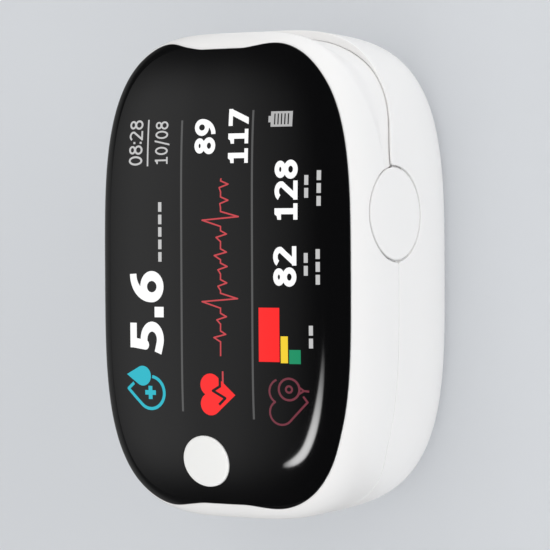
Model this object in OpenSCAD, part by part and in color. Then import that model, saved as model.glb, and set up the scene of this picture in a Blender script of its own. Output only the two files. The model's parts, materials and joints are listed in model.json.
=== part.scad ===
// Fingertip clip health meter: two sprung jaws that close on a finger, with a display
// under a black lens, one power button and two AAA cells in the lower jaw.
// Millimetres. The origin is on the table under the middle of the body.
// +X points to the squeeze tail, -X to the finger mouth, +Z up, through the display.

/* [Body] */
// Overall length, finger mouth to squeeze tail
body_len = 60; // [60:0.5:62]
// Overall width across the jaws
body_wid = 36.5; // [36.5:0.5:38]
// Overall height, foot to crown of the lens
body_h = 32; // [32:0.25:33]
// Squareness of the plan outline, 2 is an ellipse
plan_n = 3.5; // [3.3:0.1:3.8]
// Height of the widest section
waist_z = 17; // [16.5:0.5:17.5]
// Squareness of the crown, above the widest section
crown_m = 4.5; // [4.2:0.1:5]
// Squareness of the foot, below the widest section
foot_m = 4.4; // [4:0.1:5]
// How far below the table the foot's curve would close
foot_cut = 4; // [3.5:0.25:4.5]
// Wall of the moulded shells
wall = 1.4; // [1.3:0.1:1.5]

/* [Jaws] */
// Hinge axis, from the middle of the body towards the tail
hinge_x = 7.25; // [7:0.25:7.5]
// Hinge axis height
hinge_z = 18.5; // [18.25:0.25:18.5]
// How far the jaws open when the tail is squeezed, degrees
open_deg = 10; // [8:0.5:10]
// Height of the seam between the jaws
seam_z = 18; // [17.9:0.1:18.1]
// Dip of the seam at the mouth end
mouth_dip = 2.2; // [0:0.1:2.4]
// Gap between the jaws along the seam
seam_gap = 0.25; // [0.2:0.05:0.3]
// Half length of the oval pivot opening
pivot_a = 6.05; // [6:0.05:6.2]
// Half height of the oval pivot opening
pivot_b = 7.25; // [7.1:0.05:7.4]
// Gap round each pivot cap
pivot_gap = 0.4; // [0.35:0.05:0.5]
// Hinge pin radius
pin_r = 1; // [0.9:0.05:1.05]

/* [Tail] */
// Where the telescoping tail starts, just behind the pivot caps
neck_x = 13.6; // [13.6:0.1:13.8]
// Rise of the lower rim behind the neck
neck_rise = 1.3; // [0.8:0.1:1.4]
// Lip of the lower jaw at the end of the tail
lip_end = 1.15; // [1:0.05:1.2]
// Lip of the lower jaw along the sides, at its top edge
lip_side = 0.35; // [0.3:0.05:0.5]
// Gap between the telescoping walls
tail_gap = 0.3; // [0.25:0.05:0.35]
// Lowest edge of the upper jaw's skirt
skirt_z = 16.5; // [16:0.25:17]
// Height over which the scooped tail runs out
scoop_h = 4.2; // [3:0.1:4.4]

/* [Lens] */
// Height of the lens edge along the sides
lens_z = 28.4; // [28.3:0.1:28.5]
// Rise of the lens edge in the middle of each end
lens_rise = 0.5; // [0:0.1:0.6]
// Dip of the lens edge beside that rise
lens_dip = 0.4; // [0:0.1:0.5]
// Half width of the rise
lens_reach = 7.5; // [7:0.25:8]
// Flat underside of the lens
lens_seat = 29.8; // [29.7:0.1:29.9]

/* [Power button] */
// Button centre along the body
button_x = -22.3; // [-22.5:0.1:-22]
// Button centre across the body
button_y = 1.3; // [0:0.1:1.5]
// Button radius
button_r = 3.33; // [3:0.01:3.4]
// Button travel
button_travel = 0.4; // [0.2:0.05:0.4]

/* [Finger channel] */
// Centre height of the channel
bore_z = 19.25; // [19.2:0.05:19.3]
// Half width of the pads outside
pad_a = 9.5; // [9.2:0.1:9.6]
// Half height of the pads outside
pad_b = 5.35; // [5.2:0.05:5.35]
// Half width of the channel
bore_a = 8; // [7.5:0.1:8.2]
// Half height of the channel
bore_b = 4.2; // [4:0.1:4.3]
// How far the pads flare at the mouth
flare = 0.8; // [0:0.1:1]
// Front edge of the pads
pad_front = -28.4; // [-28.4:0.1:-28]
// Inner face of the finger stop
stop_x = 3.8; // [3:0.1:3.8]
// Finger stop thickness
stop_t = 1.2; // [1:0.1:1.3]
// Middle of the sensor windows
sensor_x = -8; // [-9:0.5:-7]

/* [Cells] */
// AAA cell diameter
cell_d = 10.5; // [10.2:0.1:10.5]
// AAA cell length with its nub
cell_len = 44.5; // [44:0.1:44.5]
// Half the spacing of the two cells
cell_y = 5.45; // [5.4:0.05:5.5]
// Cell axis height
cell_z = 7.15; // [7.1:0.05:7.2]

/* [Battery door] */
// Mouth end of the door
door_x = -18; // [-19:0.5:-17]
// Half width of the door
door_y = 11.5; // [11:0.1:11.6]
// Door thickness
door_t = 1.3; // [1.2:0.05:1.3]
// Door travel before it lifts off
door_travel = 4; // [3:0.5:4]

/* [Hidden] */
$fn = 48;

half_len = body_len/2;
half_wid = body_wid/2;
fit = 0.05;                 // clearance of the running hinge
slop = 1;                   // how far a cutter runs past what it cuts

// Stations of the shell outline: along the sides by x, round the ends by y
side_x = [27.6, 26, 24, 22, 20, 18, 16, 14.6, 13.6, 12.6, 10, 7.2, 3.5];
end_y = [3, 5.5, 8, 10.5];

// ---- curves ----

// Eased step from 0 at lo to 1 at hi
function ease(v, lo, hi) = let (s = min(1, max(0, (v - lo)/(hi - lo)))) s*s*(3 - 2*s);
function mix(a, b, s) = a + (b - a)*s;
// Share of the full plan outline that the skin has at height z
function swell(z) = z < waist_z
    ? pow(1 - pow((waist_z - z)/(waist_z + foot_cut), foot_m), 1/foot_m)
    : pow(max(0, 1 - pow((z - waist_z)/(body_h - waist_z), crown_m)), 1/crown_m);
// Point of a rounded rectangle with half axes a and b, in direction d
function plan_pt(a, b, d, n = plan_n) =
    let (r = pow(pow(abs(cos(d))/a, n) + pow(abs(sin(d))/b, n), -1/n)) [r*cos(d), r*sin(d)];
// The other half axis's coordinate where the outline has v on this one
function plan_side(v, a, b) = b*pow(1 - pow(min(a, abs(v))/a, plan_n), 1/plan_n);
// Directions of the outline's stations, once round
quarter = concat([0], [for (y = end_y) atan2(y, plan_side(y, half_wid, half_len))],
    [for (x = side_x) atan2(plan_side(x, half_len, half_wid), x)]);
turned = [for (i = [len(quarter) - 1:-1:1]) quarter[i]];
dirs = concat(quarter, [90], [for (d = turned) 180 - d], [for (d = quarter) 180 + d],
    [270], [for (d = turned) 360 - d]);
// Skin of the body in direction d at height z, moved in by in_x and in_y
function skin(d, z, in_x = 0, in_y = 0) =
    let (k = swell(z), p = plan_pt(half_len*k - in_x, half_wid*k - in_y, d)) [p[0], p[1], z];

// Edge of the lens: level along the sides, raised in the middle of each end
function lens_edge(d) = let (y = abs(skin(d, lens_z)[1]))
    y < lens_reach
        ? lens_z + mix(lens_rise, -lens_dip, (1 - cos(180*y/lens_reach))/2)
        : lens_z - lens_dip*(1 + cos(180*min(1, y/lens_reach - 1)))/2;
// Rise of the lower rim behind the neck, running out towards the tail
function rise(x) = neck_rise*(1 - ease(x, neck_x + 1, 21.5));
// Fall of the seam towards the mouth
function fall(x) = mouth_dip*ease(-x, 20, 27);
// Rim of the lower jaw
function rim(d) = let (x = skin(d, seam_z)[0])
    seam_z - fall(x) + rise(x)*ease(x, neck_x, neck_x + 1);
// 0 towards the mouth, 1 in the tail: the upper jaw's scoop, and the lower jaw's thin lip
function tail(x) = ease(x, neck_x - 1, neck_x);
function lip(x) = ease(x, neck_x - 3.6, neck_x - 1);
// Lower edge of the upper jaw: above the seam, lifted behind the hinge, then a skirt
function edge(d) = let (x = skin(d, seam_z)[0])
    x > neck_x + 0.5 ? skirt_z
        : seam_z - fall(x) + seam_gap + max(0, x - hinge_x)*tan(open_deg);
// Where the tail is scooped in, 0 to 1: full up to what dips into the lower jaw
function scoop(d, z) = let (x = skin(d, z)[0],
        dip_z = seam_z + rise(x) + 0.5 + (x - hinge_x)*tan(open_deg),
        free_z = dip_z + 0.3 + scoop_h*ease(x, neck_x, 24))
    tail(x)*(1 - ease(z, dip_z, free_z));
// Swing of a tail point about the hinge, past its place at rest
function swing(d, z) = let (x = skin(d, z)[0]) pow(max(0, z - hinge_z), 2)/2/max(6, x - hinge_x);
lip_low = 0.7;              // lip of the lower jaw along the sides, below its top edge
// Skin of the upper jaw, with its scooped tail, moved in by t
function upper_skin(d, z, t = 0) = let (s = scoop(d, z))
    skin(d, z, s*(lip_end + tail_gap + swing(d, z)) + t, s*(lip_low + tail_gap) + t);
// Inside of the lower jaw, with its thin lip round the tail
function lower_inside(d, z) = let (s = lip(skin(d, z)[0]))
    skin(d, z, mix(wall, lip_end, s), mix(wall, mix(lip_side, lip_low, ease(rim(d) - z, 0, 3)), s));

// ---- solids from rings of points ----

// Skin over rings of equal length, with flat ends, or closed on itself. The ends of a
// folded ring, out along one curve and back along the next, are strips between the two
module loft(rings, closed = false, folded = false) {
    n = len(rings);
    m = len(rings[0]);
    sides = [for (i = [0:closed ? n - 1 : n - 2], j = [0:m - 1], half = [0, 1])
        let (a = i*m + j, b = i*m + (j + 1)%m, k = ((i + 1)%n)*m)
        half == 0 ? [a, k + j, k + (j + 1)%m] : [a, k + (j + 1)%m, b]];
    faces = folded ? [for (j = [0:m/2 - 2]) [j, j + 1, m - 2 - j, m - 1 - j]] : [[for (j = [0:m - 1]) j]];
    last = [for (f = faces) [for (k = [len(f) - 1:-1:0]) (n - 1)*m + f[k]]];
    caps = closed ? [] : concat(faces, last);
    polyhedron([for (r = rings, p = r) p], concat(sides, caps), convexity = 10);
}

function unit(v) = v/norm(v);
// Ring of a round wire at p, running along t; ref is across the wire
function wire_ring(p, t, r, ref, m = 8) = let (u = unit(cross(ref, t)), w = cross(t, u))
    [for (i = [0:m - 1]) p + r*(cos(360*i/m)*u + sin(360*i/m)*w)];
// Round wire along a path of points
module wire(path, r, ref) {
    n = len(path);
    loft([for (i = [0:n - 1])
        wire_ring(path[i], unit(path[min(n - 1, i + 1)] - path[max(0, i - 1)]), r, ref)]);
}

// Flat plate with the body's plan outline, from z0 to z1
module plan_plate(a, b, z0, z1)
    translate([0, 0, z0])
        linear_extrude(z1 - z0)
            polygon([for (d = dirs) plan_pt(a, b, d)]);

// Oval bar along Y, centred on the hinge
module pivot_oval(a, b, y0, y1)
    translate([hinge_x, y1, hinge_z])
        rotate([90, 0, 0])
            linear_extrude(y1 - y0)
                polygon([for (i = [0:47]) [a*cos(7.5*i), b*sin(7.5*i)]]);

// Box from its lowest to its highest corner
module box(lo, hi)
    translate(lo)
        cube(hi - lo);

// Upright bar from z0 to z1
module post(x, y, r, z0, z1)
    translate([x, y, z0])
        cylinder(h = z1 - z0, r = r);

// Bar along Y from y0 to y1, on the hinge
module hinge_bar(r, y0, y1)
    translate([hinge_x, y1, hinge_z])
        rotate([90, 0, 0])
            cylinder(h = y1 - y0, r = r);

// ---- mouth and pads ----

mouth_gap = 0.3;            // gap between the pads and the shells round the mouth
pad_n = 2.6;                // squareness of the channel
// Rounded rectangle in the YZ plane, as seen from the mouth, from angle a0 to a1
function channel_arc(x, a, b, a0, a1, n = 12) =
    [for (i = [0:n]) let (p = plan_pt(a, b, mix(a0, a1, i/n), pad_n)) [x, p[0], bore_z + p[1]]];
// Angle at which the channel's outline, with half axes a and b, meets height z
function cut_angle(a, b, z) = let (h = (z - bore_z)/b,
        y = a*pow(1 - pow(abs(h), pad_n), 1/pad_n)) atan2(z - bore_z, y);

// Hole for the finger through the mouth of a shell
module mouth_hole()
    translate([pad_front - 6, 0, bore_z])
        rotate([90, 0, 90])
            linear_extrude(12)
                polygon([for (i = [0:47]) plan_pt(pad_a + mouth_gap, pad_b + mouth_gap, 7.5*i, pad_n)]);

// One pad: the part of the sleeve below or above height z, with its share of the stop.
// The pads part along the same line as the shells, so z falls towards the mouth
pad_stations = [pad_front, -27, -25.5, -24, -22.5, -21, -19, -12, 0, stop_x + stop_t];
function pad_ring(x, z, up) = let (f = flare*(1 - ease(x, pad_front, -20)),
        a = bore_a + f, b = bore_b + 0.8*f, cut = z - fall(x),
        out = cut_angle(pad_a, pad_b, cut), inn = cut_angle(a, b, cut))
    up ? concat(channel_arc(x, pad_a, pad_b, out, 180 - out), channel_arc(x, a, b, 180 - inn, inn))
       : concat(channel_arc(x, pad_a, pad_b, 180 - out, 360 + out),
                channel_arc(x, a, b, 360 + inn, 180 - inn));
module pad(z, up) {
    loft([for (x = pad_stations) pad_ring(x, z, up)], folded = true);
    intersection() {
        translate([stop_x, 0, bore_z])
            rotate([90, 0, 90])
                linear_extrude(stop_t)
                    polygon([for (i = [0:47]) plan_pt(pad_a - 0.2, pad_b - 0.2, 7.5*i, pad_n)]);
        box([0, -pad_a, up ? z : 0], [10, pad_a, up ? body_h : z]);
    }
}

window_x = 7.6;             // sensor window along the finger
window_y = 5.6;             // sensor window across the finger
module window_cut(z0, z1)
    box([sensor_x - window_x/2, -window_y/2, z0], [sensor_x + window_x/2, window_y/2, z1]);

// ---- heights inside ----

bed_z = 12.8;               // underside of the lower tray's bed
bed_top = 13.8;             // top of the bed, under the lower pad
roof_z = 24.7;              // underside of the upper tray
roof_top = 25.5;            // top of the upper tray
board_z = 26.4;             // underside of the main board
board_top = 27.2;           // top of the main board
frame_z = 27.25;            // display frame, underside
glass_z = 28.4;             // display glass, underside
glass_top = 29.5;           // display glass, top
pad_low = bore_z - pad_b;   // lowest point of the lower pad
pad_high = bore_z + pad_b;  // highest point of the upper pad

// ---- screws ----

shank_r = 0.7;
head_r = 1.3;
boss_r = 1.5;
lower_screw_at = [[-17, 13.3], [16, 13.3]];
upper_screw_at = [[-20.8, 12.2], [20.8, 12.2]];
// Children at each of the four places that mirror the two given
module at_screws(places)
    for (p = places, s = [-1, 1])
        translate([p[0], s*p[1], 0])
            children();

// Pan head screw with a cross recess, pointing up or down, its head against height z
module screw(z, length, up)
    translate([0, 0, z])
        mirror([0, 0, up ? 0 : 1])
            difference() {
                union() {
                    translate([0, 0, -0.9])
                        cylinder(h = 0.9, r = head_r);
                    cylinder(h = length, r = shank_r);
                }
                for (a = [0, 90])
                    rotate([0, 0, a])
                        box([-0.9, -0.15, -2], [0.9, 0.15, -0.45]);
            }

// ---- lower jaw ----

floor_t = 1.4;
slot_gap = 0.2;             // gap round the battery door
tab_len = door_travel - 0.4;
tab_x = [-12, 4];
tab_z = 1.6;                // underside of the door's tabs, above the floor
tab_top = 2.4;
tab_reach = 12.7;           // how far the tabs reach over the floor
module bottom_shell() color("white") {
    outer = [for (f = [0, 0.03, 0.08, 0.16, 0.28, 0.45, 0.7, 1]) [for (d = dirs) skin(d, f*rim(d))]];
    inner = [for (f = [1, 0.92, 0.83, 0.6, 0.35, 0.2, 0.1, 0])
        [for (d = dirs) lower_inside(d, mix(floor_t, rim(d), f))]];
    difference() {
        union() {
            loft(concat(outer, inner));
            at_screws(lower_screw_at)
                cylinder(h = bed_z, r = boss_r);
        }
        at_screws(lower_screw_at)
            translate([0, 0, bed_z - 6])
                cylinder(h = 7, r = shank_r);
        mouth_hole();
        for (s = [-1, 1])
            pivot_oval(pivot_a, pivot_b, s < 0 ? -half_wid - slop : 15, s < 0 ? -15 : half_wid + slop);
        box([door_x - slot_gap, -door_y - slot_gap, -slop], [half_len + slop, door_y + slot_gap, floor_t]);
        for (x = tab_x, s = [-1, 1])
            box([x + door_travel - 0.2, s < 0 ? -tab_reach - 0.3 : door_y, -slop],
                [x + door_travel + tab_len + 0.3, s < 0 ? -door_y : tab_reach + 0.3, floor_t + slop]);
    }
}

bay_x = 24;                 // half length of the cell bay inside
bay_y = 10.9;               // half width of the cell bay inside
bay_t = 0.8;
bay_z = 4.2;                // lower edge of the bay's walls
channel_y = 3.3;            // half width of the sensor boards' channels
ear_r = 2.4;
lower_ear_y = [13.2, 14.2];
upper_ear_y = [11.8, 12.8];
module lower_tray() color("gainsboro")
    difference() {
        union() {
            plan_plate(25.6, 15.5, bed_z, bed_top);
            difference() {
                box([-bay_x - bay_t, -bay_y - bay_t, bay_z],
                    [bay_x + bay_t, bay_y + bay_t, bed_z + 0.1]);
                box([-bay_x, -bay_y, bay_z - slop], [bay_x, bay_y, bed_z]);
            }
            for (s = [-1, 1]) {
                y0 = s < 0 ? -lower_ear_y[1] : lower_ear_y[0];
                y1 = s < 0 ? -lower_ear_y[0] : lower_ear_y[1];
                box([hinge_x - ear_r, y0, bed_top - 0.1], [hinge_x + ear_r, y1, hinge_z]);
                hinge_bar(ear_r, y0, y1);
            }
        }
        hinge_bar(pin_r, -half_wid, half_wid);
        at_screws(lower_screw_at)
            translate([0, 0, bed_z - slop])
                cylinder(h = 3, r = shank_r);
        box([-12.1, -channel_y, bed_top - 0.8], [20.1, channel_y, bed_top + slop]);
    }

module lower_pad() color("lightgray")
    difference() {
        pad(seam_z, false);
        window_cut(pad_low - slop, bore_z);
    }

module detector_board() color("darkgreen")
    box([-12, -channel_y + 0.1, bed_top - 0.8], [20, channel_y - 0.1, bed_top - 0.05]);

module photodiode() color("black")
    box([sensor_x - 1.6, -1.6, bed_top - 0.05], [sensor_x + 1.6, 1.6, pad_low + 0.45]);

module detector_window() color("lightblue")
    window_cut(pad_low + 0.45, bore_z - bore_b);

// AAA cell along X, its nub towards dir
module cell(y, dir) color("silver")
    translate([0, y, cell_z])
        rotate([0, 90*dir, 0])
            translate([0, 0, -cell_len/2]) {
                cylinder(h = cell_len - 0.8, r = cell_d/2);
                cylinder(h = cell_len, r = 1.9);
            }
module battery_left() cell(cell_y, -1);
module battery_right() cell(-cell_y, 1);

contact_x = 23.6;           // inner face of the contact plates
contact_t = 0.3;
// Conical contact spring between a cell's flat end and its plate
module contact_spring(y, dir) color("gold") {
    turns = 3;
    wire_r = 0.2;
    x0 = cell_len/2 + wire_r;
    x1 = contact_x - wire_r;
    wire([for (i = [0:turns*12]) let (f = i/(turns*12), r = mix(1.6, 3.4, f), a = 30*i)
        [dir*mix(x0, x1, f), y + r*cos(a), cell_z + r*sin(a)]], wire_r, [1, 0, 0]);
}
module contact_spring_left() contact_spring(cell_y, 1);
module contact_spring_right() contact_spring(-cell_y, -1);

module bridge_contact() color("gold") {
    box([contact_x, -9.5, 3.2], [contact_x + contact_t, 9.5, 11]);
    translate([cell_len/2, -cell_y, cell_z])
        rotate([0, 90, 0])
            cylinder(h = contact_x - cell_len/2, r = 1.5);
}
module terminal_contacts() color("gold") {
    for (s = [-1, 1])
        box([-contact_x - contact_t, s < 0 ? -9.5 : 1.4, 3.2], [-contact_x, s < 0 ? -1.4 : 9.5, 11]);
    translate([-contact_x, cell_y, cell_z])
        rotate([0, 90, 0])
            cylinder(h = contact_x - cell_len/2, r = 1.5);
}

pin_end = 16.9;             // half length of the hinge pin
module hinge_pin() color("silver")
    hinge_bar(pin_r, -pin_end, pin_end);

// Oval cap that fills the pivot opening, flush with the skin and pressed on the pin
cap_y = 16.6;               // inner face of the caps
cap_a = pivot_a - pivot_gap;
cap_b = pivot_b - pivot_gap;
// Distance of the skin from the middle plane, at x and z
function skin_y(x, z) = plan_side(x, half_len*swell(z), half_wid*swell(z));
function cap_ring(f) = [for (i = [47:-1:0]) let (x = hinge_x + f*cap_a*cos(7.5*i),
        z = hinge_z + f*cap_b*sin(7.5*i)) [x, skin_y(x, z), z]];
module pivot_cap() color("white")
    difference() {
        union() {
            loft([[for (p = cap_ring(1)) [p[0], cap_y, p[2]]],
                cap_ring(1), cap_ring(0.8), cap_ring(0.6), cap_ring(0.4), cap_ring(0.2)]);
            hinge_bar(2, lower_ear_y[1], cap_y + 0.2);
        }
        hinge_bar(pin_r, 0, pin_end);
    }
module pivot_cap_left() pivot_cap();
module pivot_cap_right()
    mirror([0, 1, 0])
        pivot_cap();

module lower_screws() color("silver")
    at_screws(lower_screw_at)
        screw(bed_top, 6.5, false);

// ---- battery door ----

// Outline of the door at height z: square at the mouth end, the skin's curve at the tail
function door_ring(z) = let (k = swell(z)) concat(
    [for (i = [0:8]) let (y = mix(-door_y, door_y, i/8)) [plan_side(y, half_wid*k, half_len*k), y, z]],
    [[door_x, door_y, z], [door_x, -door_y, z]]);
module battery_door() color("white") {
    difference() {
        loft([for (z = [0, door_t/2, door_t]) door_ring(z)]);
        for (i = [0:4])
            box([14 + 1.6*i, -6, -slop], [14.7 + 1.6*i, 6, 0.35]);
    }
    for (x = tab_x, s = [-1, 1])
        mirror([0, s < 0 ? 1 : 0, 0]) {
            box([x, door_y - 1.1, door_t - 0.1], [x + tab_len, door_y, tab_top]);
            box([x, door_y - 0.1, tab_z], [x + tab_len, tab_reach, tab_top]);
        }
}

// ---- upper jaw ----

module top_shell() color("white") {
    outer = [for (i = [0:9]) [for (d = dirs) upper_skin(d, mix(edge(d), lens_edge(d), i/9))]];
    inner = [for (i = [7:-1:0]) [for (d = dirs) upper_skin(d, mix(edge(d), lens_edge(d), i/7), wall)]];
    difference() {
        union() {
            loft(concat(outer, inner), closed = true);
            at_screws(upper_screw_at)
                translate([0, 0, roof_top])
                    cylinder(h = 2.4, r = boss_r);
        }
        at_screws(upper_screw_at)
            cylinder(h = 27.7, r = shank_r);
        mouth_hole();
        for (s = [-1, 1])
            pivot_oval(pivot_a, pivot_b, s < 0 ? -half_wid - slop : 15, s < 0 ? -15 : half_wid + slop);
    }
}

button_gap = 0.12;
// Angle from the waist at which the crown's curve has height z, and the other way round
function crown_a(z) = asin(pow((z - waist_z)/(body_h - waist_z), crown_m/2));
function crown_z(a) = waist_z + (body_h - waist_z)*pow(sin(a), 2/crown_m);
module front_lens() color("black") {
    rest = fit;             // bond line under the lens
    top_a = 88;             // last ring of the crown, as an angle from the waist
    seat = [for (d = dirs) let (p = plan_pt(24.4, 14.3, d)) [p[0], p[1], lens_seat]];
    foot = [for (d = dirs) skin(d, lens_edge(d) + rest, wall, wall)];
    crown = [for (i = [0:11]) [for (d = dirs) let (a0 = crown_a(lens_edge(d) + rest))
        skin(d, crown_z(mix(a0, top_a, i/11)))]];
    difference() {
        loft(concat([seat, foot], crown));
        post(button_x, button_y, button_r + button_gap, 20, body_h + slop);
    }
}

module display_frame() color("dimgray")
    box([-18.4, -12.2, frame_z], [18.6, 12.2, glass_z]);
module display_glass() color("darkslategray")
    box([-17.9, -11.7, glass_z], [18.1, 11.7, glass_top]);

module main_board() color("darkgreen")
    difference() {
        plan_plate(25.4, 14.6, board_z, board_top);
        at_screws(upper_screw_at)
            translate([0, 0, board_z - slop])
                cylinder(h = 3, r = boss_r + 0.3);
    }

module board_chips() color("black") {
    box([-3, -3, board_z - 0.8], [3, 3, board_z]);
    box([8, -5, board_z - 0.8], [12, -1, board_z]);
    box([-12, 2, board_z - 0.8], [-8, 5, board_z]);
    box([12, 4, board_z - 0.7], [15.2, 5.5, board_z]);
}

module buzzer() color("black")
    difference() {
        box([19.2, -2.5, board_top], [24.2, 2.5, board_top + 2]);
        post(21.7, 0, 0.6, board_top + 1, board_top + 3);
    }

switch_top = 28.6;
module tact_switch() color("silver")
    difference() {
        box([button_x - 2.25, button_y - 2.25, board_top], [button_x + 2.25, button_y + 2.25, switch_top]);
        post(button_x, button_y, 1.3, switch_top - 0.5, switch_top + slop);
    }

// Underside of the button, on the switch plunger
button_low = switch_top + button_travel + 0.1;
module upper_tray() color("gainsboro")
    difference() {
        union() {
            plan_plate(25.8, 15, roof_z, roof_top);
            for (x = [-12, 12], s = [-1, 1])
                post(x, s*10, 1.2, roof_top - 0.1, board_z);
            for (s = [-1, 1]) {
                y0 = s < 0 ? -upper_ear_y[1] : upper_ear_y[0];
                y1 = s < 0 ? -upper_ear_y[0] : upper_ear_y[1];
                box([hinge_x - ear_r, y0, hinge_z], [hinge_x + ear_r, y1, roof_z + 0.1]);
                hinge_bar(ear_r, y0, y1);
            }
        }
        hinge_bar(pin_r + fit, -half_wid, half_wid);
        at_screws(upper_screw_at)
            translate([0, 0, roof_z - slop])
                cylinder(h = 3, r = shank_r);
        box([-12.1, -channel_y, roof_z - slop], [17.1, channel_y, roof_z + 0.65]);
    }

module upper_pad() color("lightgray")
    difference() {
        pad(seam_z + seam_gap + 0.05, true);
        window_cut(bore_z, pad_high + slop);
    }

module emitter_board() color("darkgreen")
    box([-12, -channel_y + 0.1, roof_z + 0.05], [17, channel_y - 0.1, roof_z + 0.65]);

module emitter_leds() color("red")
    for (x = [-1.5, 1.5])
        box([sensor_x + x - 0.8, -0.8, pad_high - 0.45], [sensor_x + x + 0.8, 0.8, roof_z + 0.05]);

module emitter_window() color("lightblue")
    window_cut(bore_z + bore_b, pad_high - 0.45);

module upper_screws() color("silver")
    at_screws(upper_screw_at)
        screw(roof_z, 2.9, true);

// ---- power button ----

button_tilt = 12.2;         // slope of the lens where the button stands
button_top = 31.2;
module power_button() color("white") {
    difference() {
        post(button_x, button_y, button_r, button_low, body_h + slop);
        translate([button_x, button_y, button_top])
            rotate([0, -button_tilt, 0])
                box([-10, -10, 0], [10, 10, 5]);
    }
    for (s = [-1, 1])
        box([button_x - 1, button_y + (s < 0 ? -4.2 : 3), button_low],
            [button_x + 1, button_y + (s < 0 ? -3 : 4.2), button_low + 0.5]);
}
module switch_plunger() color("black")
    post(button_x, button_y, 1.2, switch_top - 0.05, button_low);

// ---- hinge springs and the cable between the jaws ----

// Torsion spring round the pin, its two legs pushing the jaws' tails apart
module torsion_spring(s) color("silver") {
    wire_r = 0.25;
    coil_r = 1.75;
    turns = 5;
    y0 = s*3.6;
    pitch = s*0.62;
    leg_up = [for (z = [roof_z - wire_r, 21.5, 19.5]) [hinge_x + coil_r, y0, z]];
    coil = [for (i = [0:turns*14]) let (a = -360*i/14)
        [hinge_x + coil_r*cos(a), y0 + pitch*i/14, hinge_z + coil_r*sin(a)]];
    leg_down = [for (z = [17.5, 15.5, bed_top + wire_r]) [hinge_x + coil_r, y0 + pitch*turns, z]];
    wire(concat(leg_up, coil, leg_down), wire_r, [0, 1, 0]);
}
module torsion_spring_left() torsion_spring(1);
module torsion_spring_right() torsion_spring(-1);

cable_x = 14.5;             // where the flat cable leaves the boards
module flex_cable() color("orange") {
    low = bed_top - 0.05;
    high = roof_z + 0.05;
    r = (high - low)/2;
    translate([cable_x, 2.5, (low + high)/2])
        rotate([90, 0, 0])
            linear_extrude(5)
                intersection() {
                    difference() {
                        circle(r = r);
                        circle(r = r - 0.25);
                    }
                    translate([0, -r])
                        square([r, 2*r]);
                }
}

// ---- draw ----

bottom_shell();
lower_tray();
lower_pad();
detector_board();
photodiode();
detector_window();
battery_left();
battery_right();
contact_spring_left();
contact_spring_right();
bridge_contact();
terminal_contacts();
hinge_pin();
pivot_cap_left();
pivot_cap_right();
lower_screws();
battery_door();
top_shell();
front_lens();
display_frame();
display_glass();
main_board();
board_chips();
buzzer();
tact_switch();
upper_tray();
upper_pad();
emitter_board();
emitter_leds();
emitter_window();
upper_screws();
power_button();
switch_plunger();
torsion_spring_left();
torsion_spring_right();
flex_cable();
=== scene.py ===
"""Fingertip clip meter: how it looks, made round its packed construction.

Shapes are worked out in millimetres and turned to metres when a mesh is made. +X points to the
squeeze tail, -X to the finger mouth, +Z up through the display.
"""

import json
import math

import bmesh
import bpy
import numpy as np
from mathutils import Matrix, Vector
from mathutils.geometry import delaunay_2d_cdt


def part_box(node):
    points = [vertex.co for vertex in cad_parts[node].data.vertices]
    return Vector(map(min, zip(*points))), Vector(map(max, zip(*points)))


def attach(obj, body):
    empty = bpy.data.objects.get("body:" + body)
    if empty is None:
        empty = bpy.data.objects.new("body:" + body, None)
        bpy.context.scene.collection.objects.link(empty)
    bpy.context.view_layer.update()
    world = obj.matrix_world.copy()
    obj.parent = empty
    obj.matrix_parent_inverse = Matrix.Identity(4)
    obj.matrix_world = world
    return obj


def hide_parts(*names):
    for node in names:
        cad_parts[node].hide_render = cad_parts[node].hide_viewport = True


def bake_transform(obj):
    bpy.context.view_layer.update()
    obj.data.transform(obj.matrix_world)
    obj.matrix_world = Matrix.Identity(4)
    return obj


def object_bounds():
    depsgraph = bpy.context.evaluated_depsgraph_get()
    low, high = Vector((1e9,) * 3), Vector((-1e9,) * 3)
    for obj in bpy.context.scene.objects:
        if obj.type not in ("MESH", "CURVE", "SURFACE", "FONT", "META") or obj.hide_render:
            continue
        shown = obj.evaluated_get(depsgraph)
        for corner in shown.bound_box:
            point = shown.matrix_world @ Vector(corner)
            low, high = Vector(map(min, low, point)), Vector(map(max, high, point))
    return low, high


MM = 0.001
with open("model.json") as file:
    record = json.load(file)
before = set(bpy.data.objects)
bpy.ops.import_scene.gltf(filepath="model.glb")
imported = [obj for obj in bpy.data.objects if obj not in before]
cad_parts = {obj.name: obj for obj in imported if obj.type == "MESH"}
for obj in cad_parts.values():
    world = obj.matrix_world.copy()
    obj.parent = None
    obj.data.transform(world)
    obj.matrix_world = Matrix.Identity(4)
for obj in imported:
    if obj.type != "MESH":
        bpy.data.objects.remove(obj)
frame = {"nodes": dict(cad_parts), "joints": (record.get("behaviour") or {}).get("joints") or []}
cad_low, cad_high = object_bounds()
nodes = frame["nodes"]


def box_mm(node):
    """Lowest and highest corner of a CAD node, in millimetres."""
    low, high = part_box(node)
    return np.array(low) / MM, np.array(high) / MM


# ---- driving sizes, in millimetres ----

HALF_LEN, HALF_WID, TOP = np.array(cad_high) / MM
PLAN_N = 3.5  # squareness of the plan outline
WAIST_Z = 17.0  # height of the widest section
CROWN_M = 4.5  # squareness of the crown
FOOT_M = 4.4  # squareness of the foot
FOOT_CUT = 4.0  # how far below the table the foot's curve would close
WALL, FLOOR_T = 1.4, 1.4

hinge = next(j for j in frame["joints"] if j["name"] == "jaw_hinge")
HINGE_X, HINGE_Z = hinge["pos_m"][0] / MM, hinge["pos_m"][2] / MM
OPEN_SLOPE = math.tan(math.radians(hinge["range_deg"][1]))
SEAM_Z = 18.0
SEAM_SHUT = 0.1  # gap that shows between the closed jaws
MOUTH_DIP, DIP_X = 2.2, (-20, -27)  # how far the seam falls towards the mouth, and where
PIVOT_A, PIVOT_B = 5.85, 7.1  # half axes of the oval pivot opening
PIVOT_GAP = 0.27

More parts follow.
